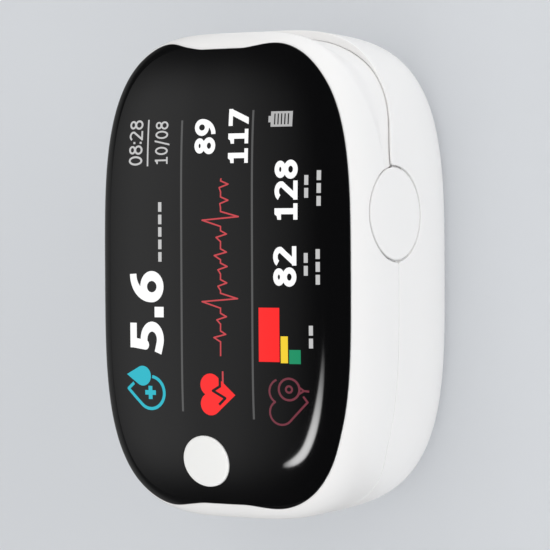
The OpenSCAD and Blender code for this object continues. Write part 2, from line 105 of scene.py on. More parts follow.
NECK_X = HINGE_X + PIVOT_A  # where the telescoping tail starts
NECK_RISE, TAIL_FALL = 1.3, 0.6  # the lower rim stands high behind the neck, then falls
NECK_BEND = 0.7  # length over which either rim turns up or down at the neck
CORNER_X, END_X = 22, 29  # where the lip starts to thicken behind, and where it is full
LIP_END, LIP_SIDE, LIP_NECK = 1.1, 0.34, 0.3  # how thick the lip of the lower jaw is
LIP_X, LIP_DEEP = 21, 3  # where, and how far under its rim, it is as thick as at the side
GAP_NECK, GAP_TAIL = 0.06, 0.02  # how far the tail of the upper jaw clears that lip
GAP_X = (18, 25)  # where that gap narrows
SKIRT_Z = 16.5  # lowest part of the upper jaw, hidden behind the lip
SCOOP_LOW, SCOOP_H = 0.8, 4.2  # height of its scoop at the neck, and what it gains behind
SCOOP_X = 24  # where the scoop is full

LENS_Z, LENS_RISE, LENS_DIP = 28.4, 0.5, 0.4  # height of its edge, its rise in mid end, its dips
MID_Y, CORNER_Y = (2.5, 8), (8, 14)  # where the edge falls from its rise, and where its dip ends
FAR_LAP, FAR_Y = 1.3, (5, 10)  # how much lower the lens laps over the far side, and where
MOUTH_LAP, MOUTH_X = 0.45, (18, 26)  # the same for the mouth's corners
LENS_SEAT, SEAT_A, SEAT_B = 29.8, 24.4, 14.3  # height and half axes of its flat underside

BORE_Z = 19.25  # height of the finger channel's axis
PAD_A, PAD_B, PAD_N = 9.5, 5.35, 2.6  # outside of the finger pads, and its squareness
PAD_SPLIT = 0.3  # gap between the two pads
BORE_A, BORE_B = 8.0, 4.2  # half axes of the finger channel
MOUTH_GAP = 0.18
FLARE, FLARE_X = 0.8, -20  # how much wider the channel is at its mouth, and where that ends
FLARE_B = 0.8  # share of it that the channel gains in height

COLUMNS = 720  # points round each shell
ARC_POINTS, SEAM_POINTS = 120, 400  # points that its notches and the seam between are drawn with
SOFTEN, SPREAD = 1.1, 24  # points over which corners are eased, and over which notches spread


# ---- curves and the skin of the body ----


def ease(v, low, high):
    """Eased step from 0 at low to 1 at high."""
    s = np.clip((v - low) / (high - low), 0, 1)
    return s * s * (3 - 2 * s)


def mix(a, b, share):
    """Value a share of the way from a to b."""
    return a + (b - a) * share


def unit(v):
    """Vectors scaled to length 1."""
    return v / np.linalg.norm(v, axis=-1, keepdims=True)


def swell(z):
    """Share of the full plan outline that the skin has at height z."""
    below = np.clip(WAIST_Z - z, 0, None) / (WAIST_Z + FOOT_CUT)
    above = np.clip((z - WAIST_Z) / (TOP - WAIST_Z), 0, 1)
    return np.where(
        z < WAIST_Z,
        (1 - below**FOOT_M) ** (1 / FOOT_M),
        (1 - above**CROWN_M) ** (1 / CROWN_M),
    )


def plan_r(d, a, b, n=PLAN_N):
    """Distance to a rounded rectangle with half axes a and b, in direction d."""
    return (np.abs(np.cos(d) / a) ** n + np.abs(np.sin(d) / b) ** n) ** (-1 / n)


def plan_side(v, a, b):
    """The other half axis's coordinate where the outline has v on this one."""
    return b * (1 - (np.minimum(a, np.abs(v)) / a) ** PLAN_N) ** (1 / PLAN_N)


def side_y(x, z):
    """Half width of the skin at x and z."""
    return plan_side(x, HALF_LEN * swell(z), HALF_WID * swell(z))


def polar(d, r, z):
    """Points in direction d from the middle, at distance r and height z."""
    return np.stack([r * np.cos(d), r * np.sin(d), z + 0 * d], axis=-1)


def skin(d, z, in_x=0.0, in_y=0.0):
    """Points of the body's skin in direction d at height z, moved in by in_x and in_y."""
    k = swell(z)
    return polar(d, plan_r(d, HALF_LEN * k - in_x, HALF_WID * k - in_y), z)


def fall(x):
    """Fall of the seam towards the mouth."""
    return MOUTH_DIP * ease(x, *DIP_X)


def rise(x):
    """Rise of the lower rim behind the neck, and its fall towards the tail's end."""
    return NECK_RISE - (NECK_RISE + TAIL_FALL) * ease(x, NECK_X + 0.5, CORNER_X)


def end_lip(x):
    """Thickness of the lower jaw's lip along x: thin at the tail's corners, full at its end."""
    return LIP_END * ease(x, CORNER_X, END_X)


def rim_z(x):
    """Height of the lower jaw's rim."""
    return SEAM_Z - fall(x) + rise(x) * ease(x, NECK_X - NECK_BEND, NECK_X)


def edge_z(x):
    """Lower edge of the upper jaw: the seam, lifted behind the hinge, then a hidden skirt."""
    seam = SEAM_Z + SEAM_SHUT - fall(x) + np.clip(x - HINGE_X, 0, None) * OPEN_SLOPE
    return mix(seam, SKIRT_Z, ease(x, NECK_X + 0.2, NECK_X + NECK_BEND))


def lens_edge(d):
    """Height of the lens edge: raised in the middle of each end, lower at the far side."""
    x, y = np.moveaxis(skin(d, LENS_Z + 0 * d)[..., :2], -1, 0)
    across, far = np.abs(y), ease(y, *FAR_Y)
    lap = FAR_LAP * far + MOUTH_LAP * ease(-x, *MOUTH_X) * (1 - far)
    wave = LENS_RISE * (1 - ease(across, *MID_Y)) - LENS_DIP * ease(across, *MID_Y)
    return LENS_Z + wave + LENS_DIP * ease(across, *CORNER_Y) - lap


def upper_skin(d, z):
    """Skin of the upper jaw, scooped in at the tail where it slides into the lower one."""
    x = skin(d, z)[..., 0]
    dip_z = SEAM_Z + rise(x) + 0.3 + (x - HINGE_X) * OPEN_SLOPE
    free_z = dip_z + SCOOP_LOW + SCOOP_H * ease(x, NECK_X, SCOOP_X)
    share = ease(x, NECK_X - 1, NECK_X) * (1 - ease(z, dip_z, free_z))
    # a point over the hinge swings out as the tail goes down
    swing = np.clip(z - HINGE_Z, 0, None) ** 2 / 2 / np.clip(x - HINGE_X, 6, None)
    gap = mix(GAP_NECK, GAP_TAIL, ease(x, *GAP_X))
    return skin(d, z, share * (end_lip(x) + gap + swing), share * (LIP_SIDE + gap))


def facing(surface, d, z):
    """Outward unit normals of a surface."""
    along = surface(d + 0.001, z) - surface(d - 0.001, z)
    up = surface(d, z + 0.01) - surface(d, z - 0.01)
    return unit(np.cross(along, up))


def level(normals):
    """Normals laid flat."""
    return unit(normals * (1, 1, 0))


def moved_in(surface, d, z, depth):
    """Points of a surface, moved level inwards by a depth."""
    return surface(d, z) - np.reshape(depth, (-1, 1)) * level(facing(surface, d, z))


def inset_depth(d, z, in_x, in_y):
    """How far the skin moves in, square to itself, when its half axes lose in_x and in_y."""
    flat = np.abs(level(facing(skin, d, z)))[..., :2]
    n = PLAN_N / (PLAN_N - 1)
    axes = np.stack([HALF_LEN * swell(z), HALF_WID * swell(z)], axis=-1)
    reach = ((axes * flat) ** n).sum(axis=-1) ** (1 / n)
    shares = flat * (axes * flat / reach[..., None]) ** (n - 1)
    return shares[..., 0] * in_x + shares[..., 1] * in_y


def lower_wall(d, z):
    """Thickness of the lower jaw's wall, thin round the tail."""
    x = skin(d, z)[..., 0]
    lip = ease(x, NECK_X - 0.9, NECK_X - 0.1)
    side = mix(LIP_NECK, LIP_SIDE, ease(x, NECK_X, LIP_X))
    side = mix(side, LIP_SIDE, ease(rim_z(x) - z, 0, LIP_DEEP))
    return inset_depth(d, z, mix(WALL, end_lip(x), lip), mix(WALL, side, lip))


# ---- closed lines on the skin ----


def run_along(line):
    """Distance of each point of a line from its first, along the line."""
    return np.cumsum([0, *np.linalg.norm(np.diff(line, axis=0), axis=1)])


def line_angle(line):
    """Direction of each point of a line, seen from above."""
    return np.unwrap(np.arctan2(line[:, 1], line[:, 0]))


def smoothed(values, width):
    """Values round a closed line, smoothed over so many points."""
    reach = int(3 * width) + 1
    bell = np.exp(-0.5 * (np.arange(-reach, reach + 1) / width) ** 2)
    bell /= bell.sum()
    padded = np.concatenate([values[-reach:], values, values[:reach]])
    return np.convolve(padded, bell, "valid")


def closed_line(half):
    """A closed line from its half at +Y: even steps, its corners eased."""
    loop = np.vstack([half, half[-2::-1] * (1, -1, 1)])
    run = run_along(loop)
    steps = np.linspace(0, run[-1], COLUMNS, endpoint=False)
    return np.column_stack([smoothed(np.interp(steps, run, line), SOFTEN) for line in loop.T])


def at_height(height_of_x, d_from, d_to):
    """Points of the skin from one direction to another, at a height that depends on x."""
    d = np.linspace(d_from, d_to, SEAM_POINTS)
    return skin(d, height_of_x(skin(d, SEAM_Z + 0 * d)[:, 0]))


def pivot_arc(start, end):
    """Points of the skin on the oval round the hinge, from one angle to another, in degrees."""
    phi = np.radians(np.linspace(start, end, ARC_POINTS))
    x, z = HINGE_X + PIVOT_A * np.cos(phi), HINGE_Z + PIVOT_B * np.sin(phi)
    return np.column_stack([x, side_y(x, z), z])


def pad_line(x, a, b, start, end, count=40):
    """Points round the finger channel's axis at x, from one angle to another, in degrees."""
    psi = np.radians(np.linspace(start, end, count))
    r = plan_r(psi, a, b, PAD_N)
    return np.column_stack([x + 0 * psi, r * np.cos(psi), BORE_Z + r * np.sin(psi)])


def mouth_arc(start, end):
    """Points of the skin on the mouth's outline, from one angle to another, in degrees."""
    y, z = pad_line(0, PAD_A + MOUTH_GAP, PAD_B + MOUTH_GAP, start, end, ARC_POINTS).T[1:]
    k = swell(z)
    return np.column_stack([-plan_side(y, HALF_WID * k, HALF_LEN * k), y, z])


def mouth_angle(z, a=PAD_A + MOUTH_GAP, b=PAD_B + MOUTH_GAP):
    """Angle at which the mouth's outline meets height z, in degrees."""
    y = a * (1 - abs((z - BORE_Z) / b) ** PAD_N) ** (1 / PAD_N)
    return math.degrees(math.atan2(z - BORE_Z, y))


def jaw_line(height_of_x, lower):
    """The closed edge of a jaw, notched round the pivots and the mouth."""
    sign = -1 if lower else 1
    heights = (float(height_of_x(HINGE_X + way * PIVOT_A)) for way in (1, -1))
    tail_phi, seam_phi = (math.degrees(math.asin((z - HINGE_Z) / PIVOT_B)) for z in heights)
    oval = pivot_arc(tail_phi, sign * 180 - seam_phi)
    mouth_z = float(height_of_x(-HALF_LEN))
    mouth = mouth_arc(mouth_angle(mouth_z), sign * 90)
    ends = [line_angle(p[None])[0] for p in (oval[0], oval[-1], mouth[0])]
    tail = at_height(height_of_x, 0, ends[0])
    seam = at_height(height_of_x, ends[1], ends[2])
    return closed_line(np.vstack([tail[:-1], oval, seam[1:-1], mouth]))


def eased_angles(d):
    """Directions for the plain edge that faces a notched one, spread out past its notches."""
    table = np.linspace(0, 2 * np.pi, 2001)
    run = run_along(skin(table, WAIST_Z + 0 * table))
    steady = np.arange(len(d)) / len(d) * run[-1]
    along = steady + smoothed(np.interp(d, table, run) - steady, SPREAD)
    return np.interp(along, run, table)


class Edge:
    """The sharp edge of a shell's wall, and the lines just inside it on either face."""

    def __init__(self, surface, d, z, radius, material_above):
        self.point = surface(d, z)
        out = facing(surface, d, z)
        tangent = unit(np.roll(self.point, -1, axis=0) - np.roll(self.point, 1, axis=0))
        away = unit(np.cross(out, tangent)) * (-1 if material_above else 1)
        back = self.point - radius * away
        self.d, self.z = line_angle(back), back[:, 2]
        self.radius, self.flat = radius, level(out)


def rounded(start, corner, end, steps=4):
    """Rings that turn a corner smoothly, ends left out."""
    shares = [i / steps for i in range(1, steps)]
    return [(1 - t) ** 2 * start + 2 * t * (1 - t) * corner + t * t * end for t in shares]


def over_edge(edge, outer, inner, wall):
    """Rings from a wall's outer face, over its edge, to its inner face."""
    r, inside = edge.radius, edge.point - wall[:, None] * edge.flat
    top_out, top_in = edge.point - r * edge.flat, inside + r * edge.flat
    return [
        outer,
        *rounded(outer, edge.point, top_out),
        top_out,
        top_in,
        *rounded(top_in, inside, inner),
        inner,
    ]


def rows_between(surface, low, high, count, lead=1.0):
    """Rings of a surface between two lines of directions and heights, both left out."""
    rings = []
    for share in np.arange(1, count) / count:
        d = mix(low[0], high[0], 1 - (1 - share) ** lead)
        rings.append(surface(d, mix(low[1], high[1], share)))
    return rings


# ---- meshes ----


def placed(data):
    """A new object in the scene that shows this mesh, lamp or camera."""
    made = bpy.data.objects.new(data.name, data)
    bpy.context.scene.collection.objects.link(made)
    return made


def piece(name, verts, faces, material=None, edges=()):
    """A new object from points in millimetres."""
    mesh = bpy.data.meshes.new(name)
    mesh.from_pydata([tuple(v) for v in np.asarray(verts) * MM], edges, faces)
    mesh.validate()
    if material:
        mesh.materials.append(material)
    return placed(mesh)


def loft(name, rings, material=None, closed=False, folded=False):
    """A skin over rings of equal length, closed on itself or with an end at either side.

    A folded ring runs out along one curve and back along the next, so an end is the strip between.
    """
    count, n = len(rings), len(rings[0])
    j, k = np.arange(n), np.arange(n // 2 - 1)
    faces = []
    for i in range(count if closed else count - 1):
        a, b = i * n, (i + 1) % count * n
        faces += np.column_stack([a + j, a + (j + 1) % n, b + (j + 1) % n, b + j]).tolist()
    end = np.column_stack([k, k + 1, n - 2 - k, n - 1 - k]) if folded else j[None]
    if not closed:
        faces += end[:, ::-1].tolist() + ((count - 1) * n + end).tolist()
    return piece(name, np.vstack(rings), faces, material)


def applied(obj):
    """Makes an object's modifiers part of its mesh."""
    graph = bpy.context.evaluated_depsgraph_get()
    mesh = bpy.data.meshes.new_from_object(obj.evaluated_get(graph))
    obj.modifiers.clear()
    obj.data = mesh
    return obj


SLIVER = 0.0005  # what is thinner than this is left out of a cut piece
CRISP = 32  # edges that turn by more degrees than this stay crisp


def cut(obj, *cutters, union=False):
    """Cuts closed pieces out of an object, or adds them to it, and removes them."""
    for cutter in cutters:
        step = obj.modifiers.new("cut", "BOOLEAN")
        step.operation = "UNION" if union else "DIFFERENCE"
        step.solver = "MANIFOLD"
        step.object = cutter
        applied(obj)
        bpy.data.objects.remove(cutter)
    mesh = bmesh.new()
    mesh.from_mesh(obj.data)
    bmesh.ops.triangulate(mesh, faces=[f for f in mesh.faces if len(f.verts) > 4])
    bmesh.ops.dissolve_degenerate(mesh, dist=SLIVER * MM, edges=mesh.edges)
    mesh.to_mesh(obj.data)
    mesh.free()
    return obj


def shaded(obj):
    """Smooth faces with crisp edges, and normals that keep flat faces flat."""
    for face in obj.data.polygons:
        face.use_smooth = True
    obj.data.set_sharp_from_angle(angle=math.radians(CRISP))
    weigh = obj.modifiers.new("flat faces", "WEIGHTED_NORMAL")
    weigh.keep_sharp = True
    return applied(obj)


def block(low, high):
    """A closed box between two corners, for cuts and unions."""
    corners = [[(low, high)[k >> a & 1][a] for a in range(3)] for k in range(8)]
    faces = [(0, 2, 3, 1), (4, 5, 7, 6), (0, 1, 5, 4), (2, 6, 7, 3), (0, 4, 6, 2), (1, 3, 7, 5)]
    return piece("block", corners, faces)


def side_block(side, x, y, z, middle=0.0):
    """A box between pairs of x, y and z, whose y are measured out from a middle to one side."""
    ys = sorted(middle + side * v for v in y)
    return block((x[0], ys[0], z[0]), (x[1], ys[1], z[1]))


def drum(centre, axis, radius, heights, count=64):
    """A closed round bar between two heights along an axis."""
    turn = np.linspace(0, 2 * np.pi, count, endpoint=False)
    side = unit(np.cross(axis, (0.3, 0.5, 0.8)))
    other = np.cross(axis, side)
    circle = np.cos(turn)[:, None] * side + np.sin(turn)[:, None] * other
    return loft("drum", [np.array(centre) + h * np.array(axis) + radius * circle for h in heights])


def seat(obj, body, node):
    """Shades a finished piece, puts it on its body, and hides the node it stands for."""
    shaded(obj)
    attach(obj, body)
    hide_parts(node)
    return obj


# ---- finishes ----


def linear(hex_colour):
    """An sRGB hex colour as linear RGBA."""
    parts = [int(hex_colour[i : i + 2], 16) / 255 for i in (1, 3, 5)]
    return (*[c / 12.92 if c <= 0.04045 else ((c + 0.055) / 1.055) ** 2.4 for c in parts], 1.0)


def add(tree, kind, inputs=None, **settings):
    """Adds a node to a tree with its settings, and its input values or links."""
    made = tree.nodes.new(kind)
    for name, value in settings.items():
        setattr(made, name, value)
    for name, value in (inputs or {}).items():
        if isinstance(value, bpy.types.NodeSocket):
            tree.links.new(value, made.inputs[name])
        else:
            made.inputs[name].default_value = value
    return made


def emptied(owner):
    """The node tree of a new material or world, without its first nodes."""
    owner.use_nodes = True
    owner.node_tree.nodes.clear()
    return owner.node_tree


def finish(name, colour, roughness, **inputs):
    """A new material with a Principled shader, and its tree and shader."""
    material = bpy.data.materials.new(name)
    tree = emptied(material)
    values = {socket.replace("_", " "): value for socket, value in inputs.items()}
    values |= {"Base Color": linear(colour), "Roughness": roughness}
    shader = add(tree, "ShaderNodeBsdfPrincipled", values)
    add(tree, "ShaderNodeOutputMaterial", {"Surface": shader.outputs["BSDF"]})
    return material, tree, shader


def set_stops(band, stops, blend):
    """Fills a new colour band: each stop is a position, and a grey level or an sRGB hex colour."""
    tones = [(at, linear(t) if isinstance(t, str) else (t, t, t, 1.0)) for at, t in stops]
    band.interpolation = blend
    band.elements[0].position, band.elements[0].color = tones[0]
    band.elements[1].position, band.elements[1].color = tones[-1]
    for at, tone in tones[1:-1]:
        band.elements.new(at).color = tone


def tinted(tree, shader, value, stops, blend="LINEAR"):
    """Takes a finish's colour from a band of colours, by a value."""
    tones = add(tree, "ShaderNodeValToRGB", {"Fac": value})
    set_stops(tones.color_ramp, stops, blend)
    tree.links.new(tones.outputs["Color"], shader.inputs["Base Color"])


def share_along(tree, half):
    """How far along X a point of the piece lies: 0 at -half, 1 at half, in metres."""
    place = add(tree, "ShaderNodeTexCoord").outputs["Object"]
    along = add(tree, "ShaderNodeSeparateXYZ", {"Vector": place}).outputs["X"]
    ends = {"Value": along, "From Min": -half, "From Max": half}
    return add(tree, "ShaderNodeMapRange", ends).outputs["Result"]


def pattern(tree, kind, size_mm, inputs, **settings):
    """A texture fixed to the piece, with features of this size."""
    place = add(tree, "ShaderNodeTexCoord").outputs["Object"]
    return add(tree, kind, {"Vector": place, "Scale": 1 / (size_mm * MM), **inputs}, **settings)


def uneven(tree, shader, patch_mm, low, high, detail=3.0, reach=(0.0, 1.0)):
    """Lets the roughness wander between two values, in patches of this size."""
    patches = pattern(tree, "ShaderNodeTexNoise", patch_mm, {"Detail": detail}).outputs["Fac"]
    limits = dict(zip(("From Min", "From Max", "To Min", "To Max"), (*reach, low, high)))
    level = add(tree, "ShaderNodeMapRange", {"Value": patches, **limits})
    tree.links.new(level.outputs["Result"], shader.inputs["Roughness"])


def grained(tree, shader, grain_mm, height_mm, roughness, spread, detail=2.0):
    """Moulded grain: a fine bump, and a sheen that varies a little over the surface."""
    fine = pattern(tree, "ShaderNodeTexNoise", grain_mm, {"Detail": detail}).outputs["Fac"]
    bump = add(tree, "ShaderNodeBump", {"Height": fine, "Distance": height_mm * MM})
    tree.links.new(bump.outputs["Normal"], shader.inputs["Normal"])
    cloud_mm = 9.0
    uneven(tree, shader, cloud_mm, roughness - spread, roughness + spread, reach=(0.3, 0.7))
    return fine


def moulded(name, colour, roughness, grain, spread, **inputs):
    """A moulded finish, whose grain is as wide and as high as this, in millimetres."""
    material, tree, shader = finish(name, colour, roughness, **inputs)
    grained(tree, shader, *grain, roughness, spread)
    return material


def white_abs(name, colour, roughness):
    """Injection-moulded ABS, spark-eroded satin: bright and even, with a wide soft highlight."""
    glow = {"Subsurface_Radius": (0.9, 0.85, 0.8), "Subsurface_Scale": 0.5 * MM}
    grain = (0.3, 0.004)
    return moulded(name, colour, roughness, grain, 0.03, IOR=1.53, Subsurface_Weight=0.08, **glow)


def black_polycarbonate():
    """Back-tinted polycarbonate with a hard polished coat: near black, mirror-smooth."""
    material, tree, shader = finish("polished_black_polycarbonate", "#0B0B0C", 0.07, IOR=1.58)
    wipe_mm = 6.0  # faint wiping marks left by a finger, much wider than they are deep
    uneven(tree, shader, wipe_mm, 0.04, 0.11, detail=4.0)
    return material


def silicone_pad():
    """Moulded silicone rubber: dull and soft, slightly translucent at its lips."""
    glow = {"Subsurface_Weight": 0.15, "Subsurface_Scale": 0.8 * MM}
    return moulded("moulded_grey_silicone", "#A9ADB1", 0.62, (0.35, 0.02), 0.06, IOR=1.41, **glow)


def inner_nylon():
    """Glass-filled nylon of the inner frames: grey, dry, faintly mottled by its flow."""
    material, tree, shader = finish("glass_filled_grey_nylon", "#9A9DA1", 0.55, IOR=1.53)
    fine = grained(tree, shader, 0.25, 0.01, 0.55, 0.08, detail=5.0)
    tinted(tree, shader, fine, ((0.0, "#8E9195"), (1.0, "#A6A9AD")))
    return material


def board_mask():
    """Glass-epoxy circuit board under green solder mask, its copper tracks just showing."""
    material, tree, shader = finish("green_solder_mask", "#0F5A30", 0.28, IOR=1.5)
    track_mm = 0.8
    cells = {"distance": "MANHATTAN", "feature": "F1"}
    tracks = pattern(tree, "ShaderNodeTexVoronoi", track_mm, {"Randomness": 0.35}, **cells)
    stops = ((0.0, "#1D7A45"), (0.35, "#0E5430"))
    tinted(tree, shader, tracks.outputs["Distance"], stops, "CONSTANT")
    return material


def drawn_steel(name, colour, roughness):
    """Drawn spring steel: bright, with fine die lines along the wire."""
    material, tree, shader = finish(name, colour, roughness, Metallic=1.0)
    line_mm = 0.12
    uneven(tree, shader, line_mm, roughness - 0.08, roughness + 0.12)
    return material


def cell_jacket():
    """Foil jacket of a dry cell: dark sleeve with a bright band at one end and bare ends."""
    material, tree, shader = finish("printed_cell_jacket", "#2A2C30", 0.3, Metallic=0.6)
    share = share_along(tree, box_mm("battery_left")[1][0] * MM)
    bare, sleeve, stripe, band = "#B9BCC0", "#2A2C30", "#C58B3C", "#D9DBDE"
    stops = ((0.0, bare), (0.03, sleeve), (0.7, stripe), (0.72, band), (0.97, bare))
    tinted(tree, shader, share, stops, "CONSTANT")
    return material


def flat_cable():
    """Polyimide flat cable: amber film over thin copper tracks, semi-gloss."""
    material, tree, shader = finish("amber_polyimide_film", "#B5701E", 0.3, IOR=1.7)
    pitch_mm = 0.8  # one track and one gap
    band_mm = pitch_mm * 20 / (2 * math.pi)  # a wave texture turns 20 radians a unit
    tracks = pattern(tree, "ShaderNodeTexWave", band_mm, {}, bands_direction="Y")
    tinted(tree, shader, tracks.outputs["Fac"], ((0.0, "#B06A1A"), (1.0, "#7C4310")))
    return material


def lit_pixels(name, colour):
    """Lit display pixels seen through the lens: black until lit, under the lens's own gloss."""
    light = {"Emission Color": linear(colour), "Emission Strength": 1.0}
    return finish(name, "#0B0B0C", 0.07, IOR=1.58, **light)[0]


shell_white = white_abs("satin_white_abs", "#F3F2F1", 0.36)
button_white = white_abs("bright_white_abs", "#F6F6F4", 0.42)
lens_black = black_polycarbonate()
pad_grey = silicone_pad()
tray_grey = inner_nylon()
board_green = board_mask()
# moulding compound of chips and small parts: black and matt, with a coarse flat grain
epoxy_black = moulded("black_moulding_epoxy", "#1B1B1D", 0.6, (0.15, 0.006), 0.05, IOR=1.55)
# moulded polycarbonate over a sensor: glassy and clear, with a cool tint
glassy = {"IOR": 1.58, "Transmission_Weight": 0.85}
window_clear = finish("clear_polycarbonate_window", "#C9D3DC", 0.05, **glassy)[0]
# cover glass of the display panel: smooth, near black, a trace of blue
panel_dark = finish("dark_display_glass", "#05060A", 0.05, IOR=1.52, Coat_Weight=0.5)[0]
bright_steel = drawn_steel("bright_spring_steel", "#B4B6B9", 0.28)
nickel_steel = drawn_steel("nickel_plated_steel", "#C6C0B4", 0.22)
can_jacket = cell_jacket()
# cast epoxy round the emitters: glossy, a deep clear red
emitter_red = finish("red_emitter_epoxy", "#B3201A", 0.2, IOR=1.55)[0]
film_amber = flat_cable()


# ---- shells ----

EDGE_R = 0.14  # rounding of the shells' visible edges
FOOT_R = 0.7  # rounding where the lower shell meets the table
DOOR_Y, DOOR_SLOT = 11.5, 0.15  # half width of the battery door, and the gap round it
DOOR_TABS = (-12, 4)  # where its tabs start
TAB_SLIDE = 4.0


def lower_shell():
    """Lower jaw: foot, thin lip round the tail, notches for the pivots and the mouth."""
    line = jaw_line(rim_z, lower=True)
    d, z = line_angle(line), line[:, 2]
    rim = Edge(skin, d, z, EDGE_R, material_above=False)
    base_d = eased_angles(d)
    ground, foot, deck = (h + 0 * d for h in (0.0, FOOT_R, FLOOR_T))

    def inside(dd, zz):
        return moved_in(skin, dd, zz, lower_wall(dd, zz))

    sole = moved_in(skin, base_d, ground, FOOT_R)
    rings = [sole, *rounded(sole, skin(base_d, ground), skin(base_d, foot), 5), skin(base_d, foot)]
    rings += rows_between(skin, (base_d, foot), (rim.d, rim.z), 30)
    rings += over_edge(rim, skin(rim.d, rim.z), inside(rim.d, rim.z), lower_wall(rim.d, rim.z))
    rings += rows_between(inside, (rim.d, rim.z), (base_d, deck), 12)
    rings.append(inside(base_d, deck))
    shell = loft("lower_shell", rings, shell_white)
    low, high = box_mm("battery_door")
    half = DOOR_Y + DOOR_SLOT
    cutters = [block((low[0] - DOOR_SLOT, -half, -1), (HALF_LEN + 1, half, FLOOR_T - 0.02))]
    for x in DOOR_TABS:  # slots that the door's tabs slide along
        xs = (x + TAB_SLIDE - 0.2, x + 2 * TAB_SLIDE - 0.1)
        for side in (-1, 1):
            cutters.append(side_block(side, xs, (DOOR_Y - 0.5, high[1] + 0.3), (-1, FLOOR_T + 1)))
    cut(shell, *cutters)
    return seat(shell, "lower_jaw", "bottom_shell")


def upper_shell():
    """Upper jaw: smooth shoulders under the lens, scooped at the tail."""
    line = jaw_line(edge_z, lower=False)
    d, z = line_angle(line), line[:, 2]
    low = Edge(upper_skin, d, z, EDGE_R, material_above=True)
    top_d = eased_angles(d)
    high = Edge(upper_skin, top_d, lens_edge(top_d), EDGE_R, material_above=False)

    def inside(dd, zz):
        return moved_in(upper_skin, dd, zz, WALL)

    wall = WALL + 0 * d
    foot, head = (low.d, low.z), (high.d, high.z)
    rings = [upper_skin(*foot), *rows_between(upper_skin, foot, head, 48, lead=2.0)]
    rings += over_edge(high, upper_skin(*head), inside(*head), wall)
    rings += rows_between(inside, foot, head, 14, lead=2.0)[::-1]
    rings += over_edge(low, upper_skin(*foot), inside(*foot), wall)[:0:-1]
    shell = loft("upper_shell", rings, shell_white, closed=True)
    return seat(shell, "upper_jaw", "top_shell")


# ---- lens ----


def crown(d, angle):
    """Points of the crown by direction, and by angle up from the waist."""
    k = np.cos(angle) ** (2 / CROWN_M)
    z = WAIST_Z + (TOP - WAIST_Z) * np.sin(angle) ** (2 / CROWN_M)
    return polar(d, plan_r(d, HALF_LEN * k, HALF_WID * k), z)


def plan_share(x, y):
    """Share of the full plan outline that passes through a point of the plan."""
    return ((np.abs(x) / HALF_LEN) ** PLAN_N + (np.abs(y) / HALF_WID) ** PLAN_N) ** (1 / PLAN_N)


def crown_z(x, y):
    """Height of the crown over a point of the plan."""
    k = plan_share(x, y)
    return WAIST_Z + (TOP - WAIST_Z) * np.clip(1 - k**CROWN_M, 0, 1) ** (1 / CROWN_M)


def crown_normals(points):
    """Unit normals of the crown at points given in millimetres."""
    x, y, z = points.T
    plan = plan_share(x, y) ** (CROWN_M - PLAN_N)
    gx = plan * np.sign(x) * (np.abs(x) / HALF_LEN) ** (PLAN_N - 1) / HALF_LEN
    gy = plan * np.sign(y) * (np.abs(y) / HALF_WID) ** (PLAN_N - 1) / HALF_WID
    height = TOP - WAIST_Z
    gz = np.clip((z - WAIST_Z) / height, 0, None) ** (CROWN_M - 1) / height
    return unit(np.column_stack([gx, gy, gz]))


def polished(obj):
    """Gives the crown's faces the crown's own normals, so that cuts leave no mark in its gloss."""
    mesh = obj.data
    points = np.array([v.co for v in mesh.vertices]) / MM
    near, upward = 0.004, 0.15  # how near the crown a corner lies, and how far up its face looks
    on_crown = np.abs(crown_z(points[:, 0], points[:, 1]) - points[:, 2]) < near
    smooth = crown_normals(points)
    kept = [Vector(n.vector) for n in mesh.corner_normals]
    for face in mesh.polygons:
        if face.normal.z > upward and all(on_crown[v] for v in face.vertices):
            for corner in face.loop_indices:
                kept[corner] = Vector(smooth[mesh.loops[corner].vertex_index])
    mesh.normals_split_custom_set(kept)
    return obj


BUTTON_R, BUTTON_GAP = 3.12, 0.07
button_low, button_high = box_mm("power_button")
BUTTON_X, BUTTON_Y = (button_low + button_high)[:2] / 2
BOND = 0.05  # bond line between the lens and the shell


def front_lens():
    """Domed lens: polished crown, rolled edge, a round hole for the button."""
    d = np.linspace(0, 2 * np.pi, COLUMNS, endpoint=False)
    edge = lens_edge(d) + BOND
    start = np.arcsin(np.clip((edge - WAIST_Z) / (TOP - WAIST_Z), 0, 1) ** (CROWN_M / 2))
    sole = polar(d, plan_r(d, SEAT_A, SEAT_B), LENS_SEAT)
    lap, under = (moved_in(skin, d, edge, depth) for depth in (WALL, EDGE_R))
    first, last, rows = 0.02, 0.985, 52  # shares of the way up the crown, for its rings
    over = crown(d, mix(start, np.pi / 2, first))
    rings = [sole, lap, under, *rounded(under, skin(d, edge), over)]
    shares = [mix(first, last, (i / rows) ** 0.8) for i in range(rows + 1)]
    rings += [crown(d, mix(start, np.pi / 2, s)) for s in shares]
    lens = loft("front_lens_polished", rings, lens_black)
    centre = (BUTTON_X, BUTTON_Y, 0)
    cut(lens, drum(centre, (0, 0, 1), BUTTON_R + BUTTON_GAP, (20, TOP + 1), count=128))
    seat(lens, "upper_jaw", "front_lens")
    return polished(lens)


# ---- button ----

BUTTON_SLOPE = math.tan(math.radians(12.2))
BUTTON_TOP, BUTTON_DOME = 31.08, 0.1  # height of its rim's middle, and of its dome over that


